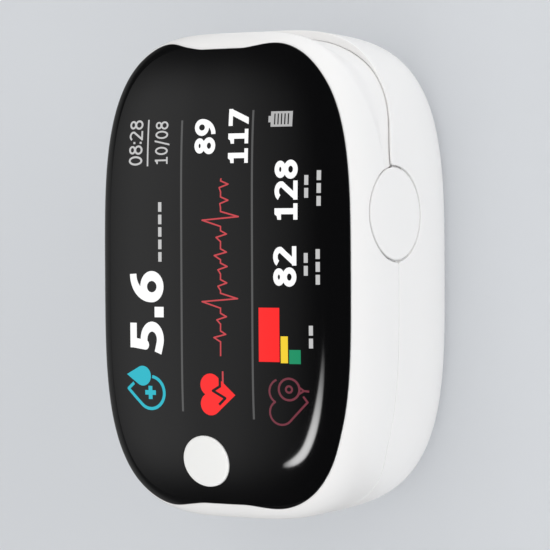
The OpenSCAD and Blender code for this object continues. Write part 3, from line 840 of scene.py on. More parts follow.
def power_button():
    """Round button cap: follows the lens's slope, softly domed, its rim rounded."""
    turn, foot_z = np.linspace(0, 2 * np.pi, 96, endpoint=False), button_low[2]

    def ring(radius, z=None):
        x, y = BUTTON_X + radius * np.cos(turn), BUTTON_Y + radius * np.sin(turn)
        dome = BUTTON_DOME * (1 - (radius / BUTTON_R) ** 2)
        top = BUTTON_TOP + (x - BUTTON_X) * BUTTON_SLOPE + dome
        return np.column_stack([x, y, top if z is None else z + 0 * x])

    rim, foot = 0.3, 0.1
    side = ring(BUTTON_R) - (0, 0, rim)
    rings = [ring(BUTTON_R - foot, foot_z), ring(BUTTON_R, foot_z + foot), side]
    rings += rounded(side, ring(BUTTON_R), ring(BUTTON_R - rim), 6)
    rings += [ring(s * (BUTTON_R - rim)) for s in (1, 0.85, 0.7, 0.5, 0.3, 0.12)]
    cap = loft("button_cap", rings, button_white)
    ear_half, ear_root, ear_top = 1, 2.7, 0.5  # ears keep the cap from falling out or turning
    xs, ys = (BUTTON_X - ear_half, BUTTON_X + ear_half), (ear_root, button_high[1] - BUTTON_Y)
    zs = (foot_z + 0.02, foot_z + ear_top)
    cut(cap, *(side_block(side, xs, ys, zs, middle=BUTTON_Y) for side in (-1, 1)), union=True)
    return seat(cap, "power_button", "power_button")


# ---- pivot caps ----


def pivot_cap(side):
    """Oval cap flush with the skin: a domed face with a rounded rim, on a round hub."""
    node = "pivot_cap_left" if side > 0 else "pivot_cap_right"
    back_y = 16.6
    a, b = PIVOT_A - PIVOT_GAP, PIVOT_B - PIVOT_GAP
    turn = np.linspace(0, -2 * np.pi, 144, endpoint=False)

    def ring(share, y=None, inset=0.0):
        x = HINGE_X + (share * a - inset) * np.cos(turn)
        z = HINGE_Z + (share * b - inset) * np.sin(turn)
        return np.column_stack([x, side_y(x, z) if y is None else y + 0 * x, z])

    r = 0.22
    wall, brim = ring(1) - (0, r, 0), ring(1, inset=r)
    rings = [ring(1, back_y, inset=0.3), wall, *rounded(wall, ring(1), brim, 5), brim]
    rings += [ring(s) for s in np.linspace(0.93, 0.05, 14)]
    cap = loft(f"{node}_face", rings, shell_white)
    ledges = []  # close the groove from behind, up to a height before and behind the hinge
    wide = (PIVOT_GAP + 0.23, HINGE_Z - 0.5, HINGE_Z - 0.15)
    slim = (PIVOT_GAP - 0.1, HINGE_Z + 1.4, 0)
    for reach, front_top, back_top in (wide, slim):
        rim = ring(1, inset=-reach)
        back = rim * (1, 0, 1) + (0, back_y + 0.02, 0)
        front_block = block((-20, 0, front_top), (HINGE_X, 30, 40))
        back_block = block((HINGE_X, 0, back_top), (30, 30, 40))
        ledge = loft("ledge", [back, rim - (0, 0.5, 0)])
        ledges.append(cut(ledge, front_block, back_block))
    hub_r, hub_y = 2, 14.2
    hub = drum((HINGE_X, 0, HINGE_Z), (0, 1, 0), hub_r, (hub_y, back_y + 0.4))
    cut(cap, *ledges, hub, union=True)
    if side < 0:
        cap.data.transform(Matrix.Diagonal((1, -1, 1, 1)))
        cap.data.flip_normals()
    return seat(cap, "lower_jaw", node)


# ---- battery door ----


def new_tree(name, **sockets):
    """A Geometry Nodes tree with these inputs, each a kind and a value, and its input sockets."""
    tree = bpy.data.node_groups.new(name, "GeometryNodeTree")
    face = tree.interface
    face.new_socket("Geometry", in_out="OUTPUT", socket_type="NodeSocketGeometry")
    for label, (kind, value) in sockets.items():
        label, kind = label.replace("_", " "), f"NodeSocket{kind}"
        made = face.new_socket(label, in_out="INPUT", socket_type=kind)
        if value is not None:
            made.default_value = value
    return tree, add(tree, "NodeGroupInput").outputs


def end_tree(tree, geometry, material):
    """Gives a tree's geometry its finish and hands it out."""
    real = add(tree, "GeometryNodeRealizeInstances", {"Geometry": geometry})
    given = {"Geometry": real.outputs["Geometry"], "Material": material}
    dressed = add(tree, "GeometryNodeSetMaterial", given)
    add(tree, "NodeGroupOutput", {"Geometry": dressed.outputs["Geometry"]})
    return tree


def grown(obj, tree):
    """Runs a Geometry Nodes tree on a piece."""
    obj.modifiers.new(tree.name, "NODES").node_group = tree
    return applied(obj)


def grip_cutters():
    """Row of round-ended grooves for the thumb grip, from a Geometry Nodes tree."""
    length, width, pitch = (("Float", mm * MM) for mm in (12, 0.7, 1.6))
    tree, given = new_tree(
        "grip_grooves", Length=length, Width=width, Pitch=pitch, Count=("Int", 5)
    )
    step = add(tree, "ShaderNodeCombineXYZ", {"X": given["Pitch"]}).outputs["Vector"]
    places = add(tree, "GeometryNodeMeshLine", {"Count": given["Count"], "Offset": step})
    half = add(tree, "ShaderNodeMath", {0: given["Width"], 1: 0.5}, operation="MULTIPLY")
    shape = {"Vertices": 24, "Radius": half.outputs[0], "Depth": given["Length"]}
    bar = add(tree, "GeometryNodeMeshCylinder", shape)
    laid = {"Points": places.outputs["Mesh"], "Instance": bar.outputs["Mesh"]}
    laid["Rotation"] = (math.pi / 2, 0, 0)
    put = add(tree, "GeometryNodeInstanceOnPoints", laid)
    return end_tree(tree, put.outputs["Instances"], shell_white)


def door_ring(z, inset):
    """Outline of the door at height z: square at the mouth end, the skin's curve at the tail."""
    k, y = float(swell(np.float64(max(z, 0)))), np.linspace(-DOOR_Y + inset, DOOR_Y - inset, 40)
    tail = np.column_stack([plan_side(y, HALF_WID * k, HALF_LEN * k) - inset, y, z + 0 * y])
    x0, x1 = box_mm("battery_door")[0][0] + inset, tail[0][0]
    corner = 0.6
    side = [(mix(x1, x0 + corner, i / 40), DOOR_Y - inset) for i in range(1, 41)]
    bend = arc(x0 + corner, DOOR_Y - inset - corner, corner, corner, 90, 180, 8)[1:]
    half = np.insert(np.vstack([side, bend]), 2, z, axis=1)
    return np.vstack([tail, half, half[::-1] * (1, -1, 1)])


def battery_door():
    """Sliding door: rounded edges, thumb grooves at its tail end, four hooked tabs."""
    high = box_mm("battery_door")[1]
    thick, soft = 1.3, 0.12
    rings = [door_ring(z, inset) for z, inset in ((0, soft), (soft / 2, soft / 3), (soft, 0))]
    rings += [door_ring(z, 0) for z in (0.4, 0.8, thick - soft)]
    rings.append(door_ring(thick, soft))
    door = loft("sliding_battery_door", rings, shell_white)
    grooves = grown(piece("grooves", [(0, 0, 0)], []), grip_cutters())
    first_groove = 14.35
    grooves.data.transform(Matrix.Translation((first_groove * MM, 0, 0)))
    cut(door, grooves)
    tab_len, hook_z, tab_top = 3.6, 1.6, high[2]
    stem, hook = (DOOR_Y - 1.1, DOOR_Y - 0.02), (DOOR_Y - 0.6, high[1])  # across, from the middle
    for x in DOOR_TABS:
        for side in (-1, 1):
            post = side_block(side, (x, x + tab_len), stem, (thick - 0.3, tab_top))
            bar = side_block(side, (x, x + tab_len), hook, (hook_z, tab_top - 0.01))
            cut(door, post, bar, union=True)
    return seat(door, "battery_door", "battery_door")


# ---- finger pads ----


PAD_LIP = 0.55  # length of the rolled front lip
PAD_ROLL, ROLL_IN = 0.36, 0.6  # how far its roll thins the pad outside, and its share inside
LEAST_WALL = 0.12


def pad_rings(front, back, split, upper):
    """Folded rings from front to back: out along the pad's outside, back along its channel."""
    xs = front + PAD_LIP * (1 - np.cos(np.linspace(0, np.pi / 2, 7)))
    xs = np.concatenate([xs, np.linspace(front + PAD_LIP, back - 0.05, 56)[1:]])
    rings = []
    for x in xs:
        flare = FLARE * (1 - float(ease(x, front, FLARE_X)))
        edge = split - float(fall(np.float64(x)))
        roll = 1 - min(1.0, (x - front) / PAD_LIP)
        thin = PAD_ROLL * (1 - math.sqrt(max(0.0, 1 - roll**2)))
        inner = (BORE_A + flare + thin * ROLL_IN, BORE_B + FLARE_B * flare + thin * ROLL_IN)
        outer = [max(full - thin, core + LEAST_WALL) for full, core in zip((PAD_A, PAD_B), inner)]
        out, core = mouth_angle(edge, *outer), mouth_angle(edge, *inner)
        if upper:
            there, back_again = (out, 180 - out), (180 - core, core)
        else:
            there, back_again = (180 - out, 360 + out), (360 + core, 180 - core)
        rings.append(np.vstack([pad_line(x, *outer, *there), pad_line(x, *inner, *back_again)]))
    return rings


def finger_pad(name, node, upper, window):
    """Half of the finger sleeve: lip, flared channel, end stop and the opening over its sensor."""
    low, high = box_mm(node)
    split = SEAM_Z + (PAD_SPLIT if upper else 0.0)
    sleeve = loft(name, pad_rings(low[0], high[0], split, upper), pad_grey, folded=True)
    stop_x, inset = 3.8, 0.2
    oval = pad_line(0, PAD_A - inset, PAD_B - inset, 0, 360, 97)[:-1]
    stop = loft("stop", [oval + (stop_x, 0, 0), oval + (high[0], 0, 0)])
    cut_z = (0, split) if upper else (split, 40)
    cut(stop, block((0, -20, cut_z[0]), (10, 20, cut_z[1])))
    cut(sleeve, stop, union=True)
    low, high = box_mm(window)
    spare = np.array((0.02, 0.02, 3))  # the opening just clears its window, and goes right through
    cut(sleeve, block(low - spare, high + spare))
    seat(sleeve, "upper_jaw" if upper else "lower_jaw", node)
    return sleeve


# ---- display marks: flat shapes in millimetres, seen from above, text upright along +X ----

MARK_LIFT = 0.012  # how far the marks stand over the lens
MARK_SINK = 0.02
MARK_GRID = 0.8  # their faces are cut this fine to follow the dome
BOLD, REGULAR = 0.2, 0.13  # stroke widths of the digits, as a share of their height
DIGIT_W = 0.63  # width of most digits, as a share of their height


def rectangle(x0, y0, x1, y1):
    """Corners of an upright rectangle."""
    return [(x0, y0), (x1, y0), (x1, y1), (x0, y1)]


def arc(cx, cy, rx, ry, start, end, count=24):
    """Points on an oval from one angle to another, in degrees."""
    t = np.radians(np.linspace(start, end, count))
    return np.column_stack([cx + rx * np.cos(t), cy + ry * np.sin(t)])


def stroke(points, width, closed=False):
    """A line of even width: mitred where it bends softly, round where it turns sharply."""
    p = np.array(points, float)
    count = len(p) if closed else len(p) - 1
    along = unit(np.roll(p, -1, axis=0) - p)[:count]
    side = along @ np.array([[0, 1], [-1, 0]]) * width / 2
    start, end, joints = side.copy(), side.copy(), []
    for i in range(count if closed else count - 1):
        j = (i + 1) % count
        bend = along[i] @ along[j]
        if bend > 0.5:
            end[i] = start[j] = (side[i] + side[j]) / (1 + bend)
        else:
            joints.append(arc(*p[(i + 1) % len(p)], width / 2, width / 2, 0, 360, 13)[:-1])
    tips = np.roll(p, -1, axis=0)[:count]
    bars = [[a + m, a - m, b - n, b + n] for a, b, m, n in zip(p, tips, start, end)]
    return bars + joints


def ring(cx, cy, rx, ry, weight, count=40):
    """An oval line that stays inside the half axes rx and ry."""
    inset = weight / 2
    return stroke(arc(cx, cy, rx - inset, ry - inset, 0, 360, count + 1)[:-1], weight, closed=True)


def digit(char, weight):
    """Width and shapes of a digit that is 1 high, with strokes of this weight."""
    w, h = DIGIT_W, weight / 2
    if char == "0":
        return w, ring(w / 2, 0.5, w / 2, 0.5, weight)
    if char == "1":
        left, right, low = 0.28 - h, 0.28 + h, 0.87 - 0.8 * weight
        stem, base = rectangle(left, 0, right, 1), rectangle(0, 0, 0.54, 0.88 * weight)
        flag = [(0, low), (left, low), (left, 1), (0.12, 0.9), (0, 0.87)]
        return 0.54, [stem, base, flag]
    if char == "2":
        hook = arc(0.28, 0.7, 0.33 - h, 0.3 - h, 152, -12)
        line = np.vstack([hook, [(w - 0.13 - h, 0.52), (0.02 + h, 0.6 * weight)]])
        return w, [*stroke(line, weight), rectangle(0, 0, w, 0.9 * weight)]
    if char == "5":
        bowl = arc(0.27, 0.34, w - 0.27 - h, 0.34 - h, 112, -108)
        line = np.vstack([(0.1 + h, 1 - h), (0.06 + h, 0.53), bowl, (0, 0.07 + h)])
        return w, [*stroke(line, weight), rectangle(0.1, 1 - weight, w - 0.03, 1)]
    if char in "69":
        bowl = ring(w / 2, 0.34, w / 2, 0.34, weight)
        tail = stroke(arc(w - 0.06, 0.36, w - 0.06 - h, 0.64 - h, 90, 185), weight)
        shapes = bowl + tail
        if char == "9":
            shapes = [[(w - x, 1 - y) for x, y in shape] for shape in shapes]
        return w, shapes
    if char == "7":
        slope = [(w, 1), (w, 0.86), (0.07 + weight * 1.15, 0), (0.05, 0), (0.37, 1 - weight)]
        return w, [slope, rectangle(0, 1 - weight, w, 1)]
    if char == "8":
        low, high = ring(w / 2, 0.3, w / 2, 0.3, weight), ring(w / 2, 0.75, 0.285, 0.25, weight)
        return w, low + high
    if char == ".":
        return 0.21, [rectangle(0, 0, 0.21, 0.26)]
    if char == ":":
        dot = 1.1 * weight
        return dot, [rectangle(0, y, dot, y + dot) for y in (0.08, 0.55)]
    return 0.42, [[(0, -0.12), (weight, -0.12), (0.42, 1.05), (0.42 - weight, 1.05)]]


SPARE = {"1": 0.06, ".": 0.03}  # room that narrow characters get on either side


def number(text, x0, y0, x1, y1, weight, gap=0.06):
    """Plain digits that fill a box."""
    pen, laid = 0.0, []
    for char, after in zip(text, text[1:] + " "):
        width, shapes = digit(char, weight)
        laid += [np.array(shape) + (pen, 0) for shape in shapes]
        step = gap + SPARE.get(char, 0) + SPARE.get(after, 0)
        pen += width + (step if after != " " else 0)
    scale = ((x1 - x0) / pen, y1 - y0)
    return [(x0, y0) + shape * scale for shape in laid]


def film(name, shapes, material, lift=MARK_LIFT):
    """Lays flat shapes on the crown as one thin closed film, overlaps merged."""
    points, faces, lines = [], [], []
    for shape in shapes:
        p = np.array(shape, float)
        x, y = p.T
        if (x * np.roll(y, -1) - y * np.roll(x, -1)).sum() < 0:
            p = p[::-1]
        faces.append(list(range(len(points), len(points) + len(p))))
        points += [Vector(q) for q in p]
    low, high = np.min(points, axis=0) - 1, np.max(points, axis=0) + 1
    for axis in (0, 1):
        for at in np.arange(low[axis], high[axis], MARK_GRID):
            ends = [Vector(low), Vector(high)]
            for end in ends:
                end[axis] = at
            lines.append((len(points), len(points) + 1))
            points += ends
    flat, _, cells, _, _, owners = delaunay_2d_cdt(points, lines, faces, 0, 1e-5)
    cells = [c for c, owner in zip(cells, owners) if owner]
    used = sorted({v for c in cells for v in c})
    place = {v: i for i, v in enumerate(used)}
    cells = [[place[v] for v in c] for c in cells]
    xy = np.array([flat[v] for v in used])
    z = crown_z(xy[:, 0], xy[:, 1])
    count = len(xy)
    sides = {(c[i], c[(i + 1) % len(c)]) for c in cells for i in range(len(c))}
    rim = [(a, b) for a, b in sides if (b, a) not in sides]
    top = [[v + count for v in c] for c in cells]
    walls = [(b, a, a + count, b + count)[::-1] for a, b in sorted(rim)]
    verts = np.vstack([np.column_stack([xy, z - MARK_SINK]), np.column_stack([xy, z + lift])])
    mark = piece(name, verts, [c[::-1] for c in cells] + top + walls, material)
    smooth = crown_normals(np.column_stack([xy, z]))
    normals = []
    for face in mark.data.polygons:
        is_top = all(v >= count for v in face.vertices)
        normals += [Vector(smooth[v - count]) if is_top else face.normal for v in face.vertices]
    mark.data.normals_split_custom_set(normals)
    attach(mark, "upper_jaw")
    return mark


HEART_STEPS = 24  # points round each lobe of a heart


def heart(cx, cy, w, h):
    """Outline of a plain heart that fills a box: notch, round lobe, tip, other lobe."""
    r = 0.27 * w
    out, up = w / 2 - r, h / 2 - r
    start = math.degrees(math.acos(-out / r))
    reach = math.hypot(out, h - r)
    end = math.degrees(math.atan2(r - h, -out) + math.acos(r / reach))
    right = arc(cx + out, cy + up, r, r, start, end, HEART_STEPS)
    left = (right * (-1, 1) + (2 * cx, 0))[::-1]
    return np.vstack([right, (cx, cy - h / 2), left[:-1]])


def drop(tip, centre, r, start=None, end=None):
    """Outline of a drop: a point over a round belly, from the point round by its left side."""
    (tx, ty), (cx, cy) = tip, centre
    lean = math.degrees(math.atan2(ty - cy, tx - cx))
    open_half = math.degrees(math.acos(r / math.hypot(tx - cx, ty - cy)))
    last = lean + 360 - open_half if end is None else end
    outline = np.vstack([tip, arc(cx, cy, r, r, lean + open_half, last, 40)])
    return outline if start is None else np.vstack([start, outline])


def readings():
    """The big readings in white, the clock, rules and place marks in grey."""
    white = [
        *number("5.6", -9.4, 6.5, 0.47, 11.4, BOLD),
        *number("89", 14.4, -0.62, 18.6, 2.2, BOLD),
        *number("117", 13.28, -5.03, 19.7, -2.37, BOLD),
        *number("82", -1.3, -11.25, 3.45, -8.35, BOLD),
        *number("128", 6.55, -11.4, 13.57, -8.54, BOLD),
    ]
    film("reading_digits", white, lit_pixels("white_pixels", "#FFFFFF"))
    pale = [
        *number("08:28", 13.22, 9.55, 18.68, 11.62, REGULAR, gap=0.1),
        *number("10/08", 13.34, 5.9, 18.46, 7.7, REGULAR, gap=0.1),
        rectangle(13.1, 8.66, 18.7, 8.87),
    ]
    for x, y, count in ((1.6, 6.75, 5), (-8.5, -13.15, 2), (0.0, -12.6, 2), (9.1, -12.65, 2)):
        pale += dashes(x, y, count)
    for x, y in ((-1.05, -13.95), (8.15, -14.05)):
        pale += dashes(x, y, 3)
    film("pale_marks", pale, lit_pixels("pale_pixels", "#C4C4C4"))
    rules = [rectangle(-16.34, 3.86, 18.5, 4.12), rectangle(-17.0, -5.72, 19.5, -5.46)]
    film("divider_rules", rules, lit_pixels("dark_grey_pixels", "#545454"))


DASH_PITCH, DASH_W, DASH_H = 1.5, 1.15, 0.46


def dashes(x, y, count):
    """A short row of plain dashes."""
    starts = [x + DASH_PITCH * i for i in range(count)]
    return [rectangle(at, y, at + DASH_W, y + DASH_H) for at in starts]


def battery_mark():
    """Full cell: a light body with dark slots and a cap."""
    x0, x1, y0, y1, rail, slots = 17.47, 19.28, -10.58, -7.9, 0.26, 5
    body = [rectangle(x0, y0, x0 + rail, y1), rectangle(x1 - rail, y0, x1, y1)]
    edges = np.linspace(y0 + 0.5, y1 - 0.5, slots)
    low = [y0, *(edges + 0.08)]
    high = [*(edges - 0.08), y1]
    body += [rectangle(x0, a, x1, b) for a, b in zip(low, high)]
    cap = rectangle(18.0, y1, 18.75, y1 + 0.3)
    film("battery_mark", [*body, cap], lit_pixels("battery_pixels", "#B4B4B4"))


PULSE_BASE, PULSE_FALL = -1.3, 0.005  # height of the trace, and its slight slope
BEATS = (  # where each wave peaks, how far it rises, and how far it then falls
    (-7.4, 0.9, 0.7),
    (-5.3, 0.5, 0.8),
    (-3.15, 2.5, 2.3),
    (-1.3, 0.35, 0.85),
    (0.65, 0.35, 0.9),
    (2.35, 0.85, 0.8),
    (4.5, 0.6, 0.8),
    (6.55, 2.5, 2.4),
    (8.5, 0.1, 1.0),
    (10.4, 0.2, 1.0),
)


def pulse_trace():
    """Points of the pulse trace: small waves, and two tall beats."""
    points = [(-9.6, PULSE_BASE)]
    for x, up, down in BEATS:
        base = PULSE_BASE - PULSE_FALL * (x + 9.6)
        lead, back = (0.75, 0.62) if up > 2 else (0.5, 0.4)
        points += [(x - lead, base), (x, base + up), (x + 0.4, base - down), (x + 0.4 + back, base)]
    return [*points, (11.5, PULSE_BASE - 0.15)]


def colour_marks():
    """Drop, heart, pulse trace, gauge and level bars."""
    solid_heart = heart(-14.2, -0.85, 5.0, 4.7)
    level = rectangle(-10.15, -9.1, -3.78, -6.42)
    film("red_marks", [solid_heart, level], lit_pixels("red_pixels", "#FF2424"))
    line = stroke(pulse_trace(), 0.175)
    line += stroke([(-13.0, -1.55), (-11.4, -1.55)], 0.22)
    film("pulse_line", line, lit_pixels("pulse_red_pixels", "#C8434A"))
    notch = [(-15.4, -1.0), (-14.6, -1.85), (-13.75, -0.2), (-13.2, -1.15), (-11.5, -1.15)]
    film("pulse_in_heart", stroke(notch, 0.32), lens_black, lift=MARK_LIFT + 0.02)
    outline = heart(-14.85, -10.05, 5.4, 4.65)
    open_heart = np.vstack([(-14.15, -11.9), outline[HEART_STEPS:], outline[: HEART_STEPS - 8]])
    gauge = [
        *stroke(open_heart, 0.24),
        *ring(-13.35, -10.2, 1.4, 1.4, 0.26),
        *ring(-13.35, -10.2, 0.5, 0.5, 0.24, 20),
        *stroke([(-13.85, -11.45), (-13.1, -11.45), (-13.5, -12.0)], 0.22, closed=True),
        *stroke([(-13.5, -12.0), (-13.57, -12.6)], 0.24),
    ]
    film("gauge_outline", gauge, lit_pixels("dark_red_pixels", "#743440"))
    yellow, green = lit_pixels("yellow_pixels", "#F6D232"), lit_pixels("green_pixels", "#1C9064")
    film("yellow_level", [rectangle(-10.27, -10.15, -7.12, -9.25)], yellow)
    film("green_level", [rectangle(-10.35, -11.7, -8.7, -10.3)], green)
    teal = [
        *stroke(drop((-13.8, 11.85), (-14.2, 8.5), 1.95, (-13.1, 10.95), 352), 0.38),
        drop((-12.08, 12.05), (-12.2, 9.62), 1.2),
        rectangle(-15.0, 8.25, -13.4, 8.8),
        rectangle(-14.48, 7.75, -13.92, 9.3),
    ]
    film("teal_marks", teal, lit_pixels("teal_pixels", "#1EB6C8"))


# ---- hinge springs and flat cable ----

BED_Z, ROOF_Z = 13.8, 24.7  # top of the lower inner frame, underside of the upper one
WIRE_R, COIL_R, COIL_TURNS, COIL_PITCH = 0.25, 1.75, 5, 0.62
COIL_STEPS = 26  # points in each turn
SPRING_Y = 3.6  # where each spring's coil starts, from the middle


def wire_tree():
    """Geometry Nodes tree that draws round wire along the edges of a mesh."""
    radius = ("Float", WIRE_R * MM)
    tree, given = new_tree("drawn_wire", Path=("Geometry", None), Wire_Radius=radius)
    path = add(tree, "GeometryNodeMeshToCurve", {"Mesh": given["Path"]}).outputs["Curve"]
    section = {"Resolution": 12, "Radius": given["Wire Radius"]}
    bar = add(tree, "GeometryNodeCurvePrimitiveCircle", section, mode="RADIUS").outputs["Curve"]
    drawn = {"Curve": path, "Profile Curve": bar, "Fill Caps": True}
    wire = add(tree, "GeometryNodeCurveToMesh", drawn)
    return end_tree(tree, wire.outputs["Mesh"], bright_steel)


def bridging(obj, node):
    """Shades a piece that reaches between the jaws, fixes its place in its mesh, and hides its
    node.
    """
    shaded(obj)
    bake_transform(obj)
    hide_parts(node)


def spring_path(side):
    """Centre line of a hinge spring: foot under the upper frame, coil round the pin, lower foot."""
    foot, bend, touch = 3.2, 0.7, WIRE_R + 0.04
    x, y = HINGE_X + COIL_R, side * SPRING_Y
    top, low = ROOF_Z - touch - bend, BED_Z + touch + bend
    end_y = y + side * COIL_PITCH * COIL_TURNS
    turn = np.radians(np.linspace(90, 0, 6))
    upper = [(x + bend * (1 - math.cos(t)), y, top + bend * math.sin(t)) for t in turn]
    lower = [(x + bend * (1 - math.cos(t)), end_y, low - bend * math.sin(t)) for t in turn[::-1]]
    coil = []
    for share in np.arange(COIL_STEPS * COIL_TURNS + 1) / COIL_STEPS:
        t = 2 * math.pi * share
        place = (HINGE_X + COIL_R * math.cos(t), HINGE_Z - COIL_R * math.sin(t))
        coil.append((place[0], y + side * COIL_PITCH * share, place[1]))
    ends = (x + bend + foot, y, top + bend), (x + bend + foot, end_y, low - bend)
    return [ends[0], *upper, *coil, *lower, ends[1]]


def hinge_spring(side):
    """Torsion spring of drawn wire, whose feet push the tails of the jaws apart."""
    path = spring_path(side)
    node = "torsion_spring_left" if side > 0 else "torsion_spring_right"
    links = [(i, i + 1) for i in range(len(path) - 1)]
    spring = grown(piece(f"{node}_wire", path, [], edges=links), wire_tree())
    bridging(spring, node)


def flat_flex_cable():
    """Flat cable between the sensor boards: one free loop, with a short straight run at each end.
    """
    loop_x, half_wid, thick = 14.5, 2.5, 0.14
    low, high = BED_Z + 0.05, ROOF_Z - 0.03
    r = (high - low) / 2
    turn = np.linspace(-np.pi / 2, np.pi / 2, 49)
    path = [(loop_x - t, low) for t in (1.6, 0.8)]
    path += [(loop_x + r * math.cos(t), (low + high) / 2 + r * math.sin(t)) for t in turn]
    path += [(loop_x - t, high) for t in (0.8, 1.6)]
    path = np.array(path)
    along = unit(np.gradient(path, axis=0))
    out = np.column_stack([along[:, 1], -along[:, 0]]) * thick / 2
    rings = []
    for (x, z), (ox, oz) in zip(path, out):
        corners = [(ox, -half_wid), (ox, half_wid), (-ox, half_wid), (-ox, -half_wid)]
        lifts = (oz, oz, -oz, -oz)
        rings.append(np.array([(x + dx, y, z + dz) for (dx, y), dz in zip(corners, lifts)]))
    cable = loft("flat_flex_cable", rings, film_amber)
    bridging(cable, "flex_cable")


# ---- what the solids already shape ----


def dress_nodes():
    """Finishes for the CAD nodes that keep their own shape."""
    finishes = {
        tray_grey: ("lower_tray", "upper_tray"),
        board_green: ("detector_board", "emitter_board", "main_board"),
        epoxy_black: ("photodiode", "board_chips", "buzzer", "display_frame", "switch_plunger"),
        window_clear: ("detector_window", "emitter_window"),
        panel_dark: ("display_glass",),
        nickel_steel: (
            "bridge_contact",
            "terminal_contacts",
            "contact_spring_left",
            "contact_spring_right",
        ),
        bright_steel: ("hinge_pin", "lower_screws", "upper_screws", "tact_switch"),
        can_jacket: ("battery_left", "battery_right"),
        emitter_red: ("emitter_leds",),
    }
    for material, names in finishes.items():
        for name in names:
            mesh = nodes[name].data
            mesh.materials.clear()
            mesh.materials.append(material)


# ---- stage, light and camera ----


TABLE_COLOUR = "#D7DADE"
ROOM_LIGHT = 0.7
MIDDLE = (0, 0, 0.015)  # middle of the meter, in metres


def sheet(name, low, high, height, material):
    """A flat sheet between two corners in metres, at a height in millimetres."""
    (x0, y0), (x1, y1) = low, high
    corners = [(x0, y0), (x1, y0), (x1, y1), (x0, y1)]
    return piece(name, [(x / MM, y / MM, height) for x, y in corners], [(0, 1, 2, 3)], material)


def stage():
    """A plain pale table top."""
    material = finish("pale_matt_board", TABLE_COLOUR, 0.8, IOR=1.45)[0]
    half = 0.6
    sheet("table_top", (-half, -half), (half, half), -0.005, material)


def lamp(name, place, size, watts):
    """A soft rectangular lamp, in metres, that faces the meter and shows in no mirror."""
    light = bpy.data.lights.new(name, "AREA")
    light.shape = "RECTANGLE"
    light.size, light.size_y = size
    light.energy = watts
    made = placed(light)
    made.location = place
    made.rotation_euler = (Vector(MIDDLE) - Vector(place)).to_track_quat("-Z", "Y").to_euler()
    made.visible_glossy = False


# Brightness of the room in a mirror, by how far the reflection leans to the far side (first
# ramp), to either end (second) and up (third): a long soft box hangs over the far side.
FAR_RAMP = (
    (0.35, 0.0),
    (0.5, 0.07),
    (0.6, 0.16),
    (0.665, 0.22),
    (0.712, 0.3),
    (0.742, 0.43),
    (0.76, 0.56),
    (0.84, 0.6),
    (0.92, 0.5),
    (1.0, 0.47),
)
END_RAMP = ((0.3, 1.0), (0.45, 0.85), (0.65, 0.35), (0.85, 0.1))
SKY_RAMP = ((0.42, 0.36), (0.5, 0.44), (0.55, 0.52), (0.65, 0.75), (0.75, 0.93), (0.83, 1.0))


def room():
    """An even pale room that mirrors show as a soft box over the far side, fading to dark."""
    world = bpy.data.worlds.new("room")
    bpy.context.scene.world = world
    tree = emptied(world)
    way = add(tree, "ShaderNodeTexCoord").outputs["Generated"]
    parts = add(tree, "ShaderNodeSeparateXYZ", {"Vector": way}).outputs
    far = add(tree, "ShaderNodeMapRange", {"Value": parts["Y"], "From Min": -1.0})
    end = add(tree, "ShaderNodeMath", {0: parts["X"]}, operation="ABSOLUTE")
    high = add(tree, "ShaderNodeMapRange", {"Value": parts["Z"], "From Min": -1.0})
    shares = []
    for lean, stops in ((far, FAR_RAMP), (end, END_RAMP), (high, SKY_RAMP)):
        tones = add(tree, "ShaderNodeValToRGB", {"Fac": lean.outputs[0]})
        set_stops(tones.color_ramp, stops, "B_SPLINE")
        shares.append(tones.outputs["Color"])
    level = shares[0]
    for share in shares[1:]:
        level = add(tree, "ShaderNodeMath", {0: level, 1: share}, operation="MULTIPLY").outputs[0]
    white, pale = linear("#FFFFFF"), linear(TABLE_COLOUR)
    mirrored = add(tree, "ShaderNodeBackground", {"Color": white, "Strength": level})
    even = add(tree, "ShaderNodeBackground", {"Color": white, "Strength": ROOM_LIGHT})
    behind = add(tree, "ShaderNodeBackground", {"Color": pale, "Strength": 1.0})
    path = add(tree, "ShaderNodeLightPath").outputs
    mirrors = {"Fac": path["Is Glossy Ray"], 1: even.outputs[0], 2: mirrored.outputs[0]}
    lit = add(tree, "ShaderNodeMixShader", mirrors)
    straight = {0: path["Is Camera Ray"], 1: path["Is Transmission Ray"]}
    clear = add(tree, "ShaderNodeMath", straight, operation="MAXIMUM")
    views = {"Fac": clear.outputs[0], 1: lit.outputs[0], 2: behind.outputs[0]}
    seen = add(tree, "ShaderNodeMixShader", views)
    add(tree, "ShaderNodeOutputWorld", {"Surface": seen.outputs[0]})


TUBE_HIGH, TUBE_LEVEL = 0.6, 12.0  # its height in metres, and its brightness
TUBE = (  # places along the tube lamp, in metres, with its width and strength there
    ((-0.41, 0.13), 0.03, 0.2),
    ((-0.41, 0.1), 0.045, 0.6),
    ((-0.407, 0.05), 0.065, 1.0),
    ((-0.395, 0.0), 0.08, 1.0),
    ((-0.365, -0.08), 0.1, 1.0),
    ((-0.31, -0.13), 0.11, 0.98),
    ((-0.25, -0.185), 0.11, 0.9),
    ((-0.2, -0.22), 0.105, 0.72),
    ((-0.15, -0.255), 0.09, 0.48),
    ((-0.11, -0.28), 0.075, 0.22),
    ((-0.07, -0.3), 0.04, 0.0),
)
TUBE_FADE = ((-0.62, 0), (-0.4, 0.85), (0, 1), (0.4, 0.85), (0.62, 0))  # strength across it


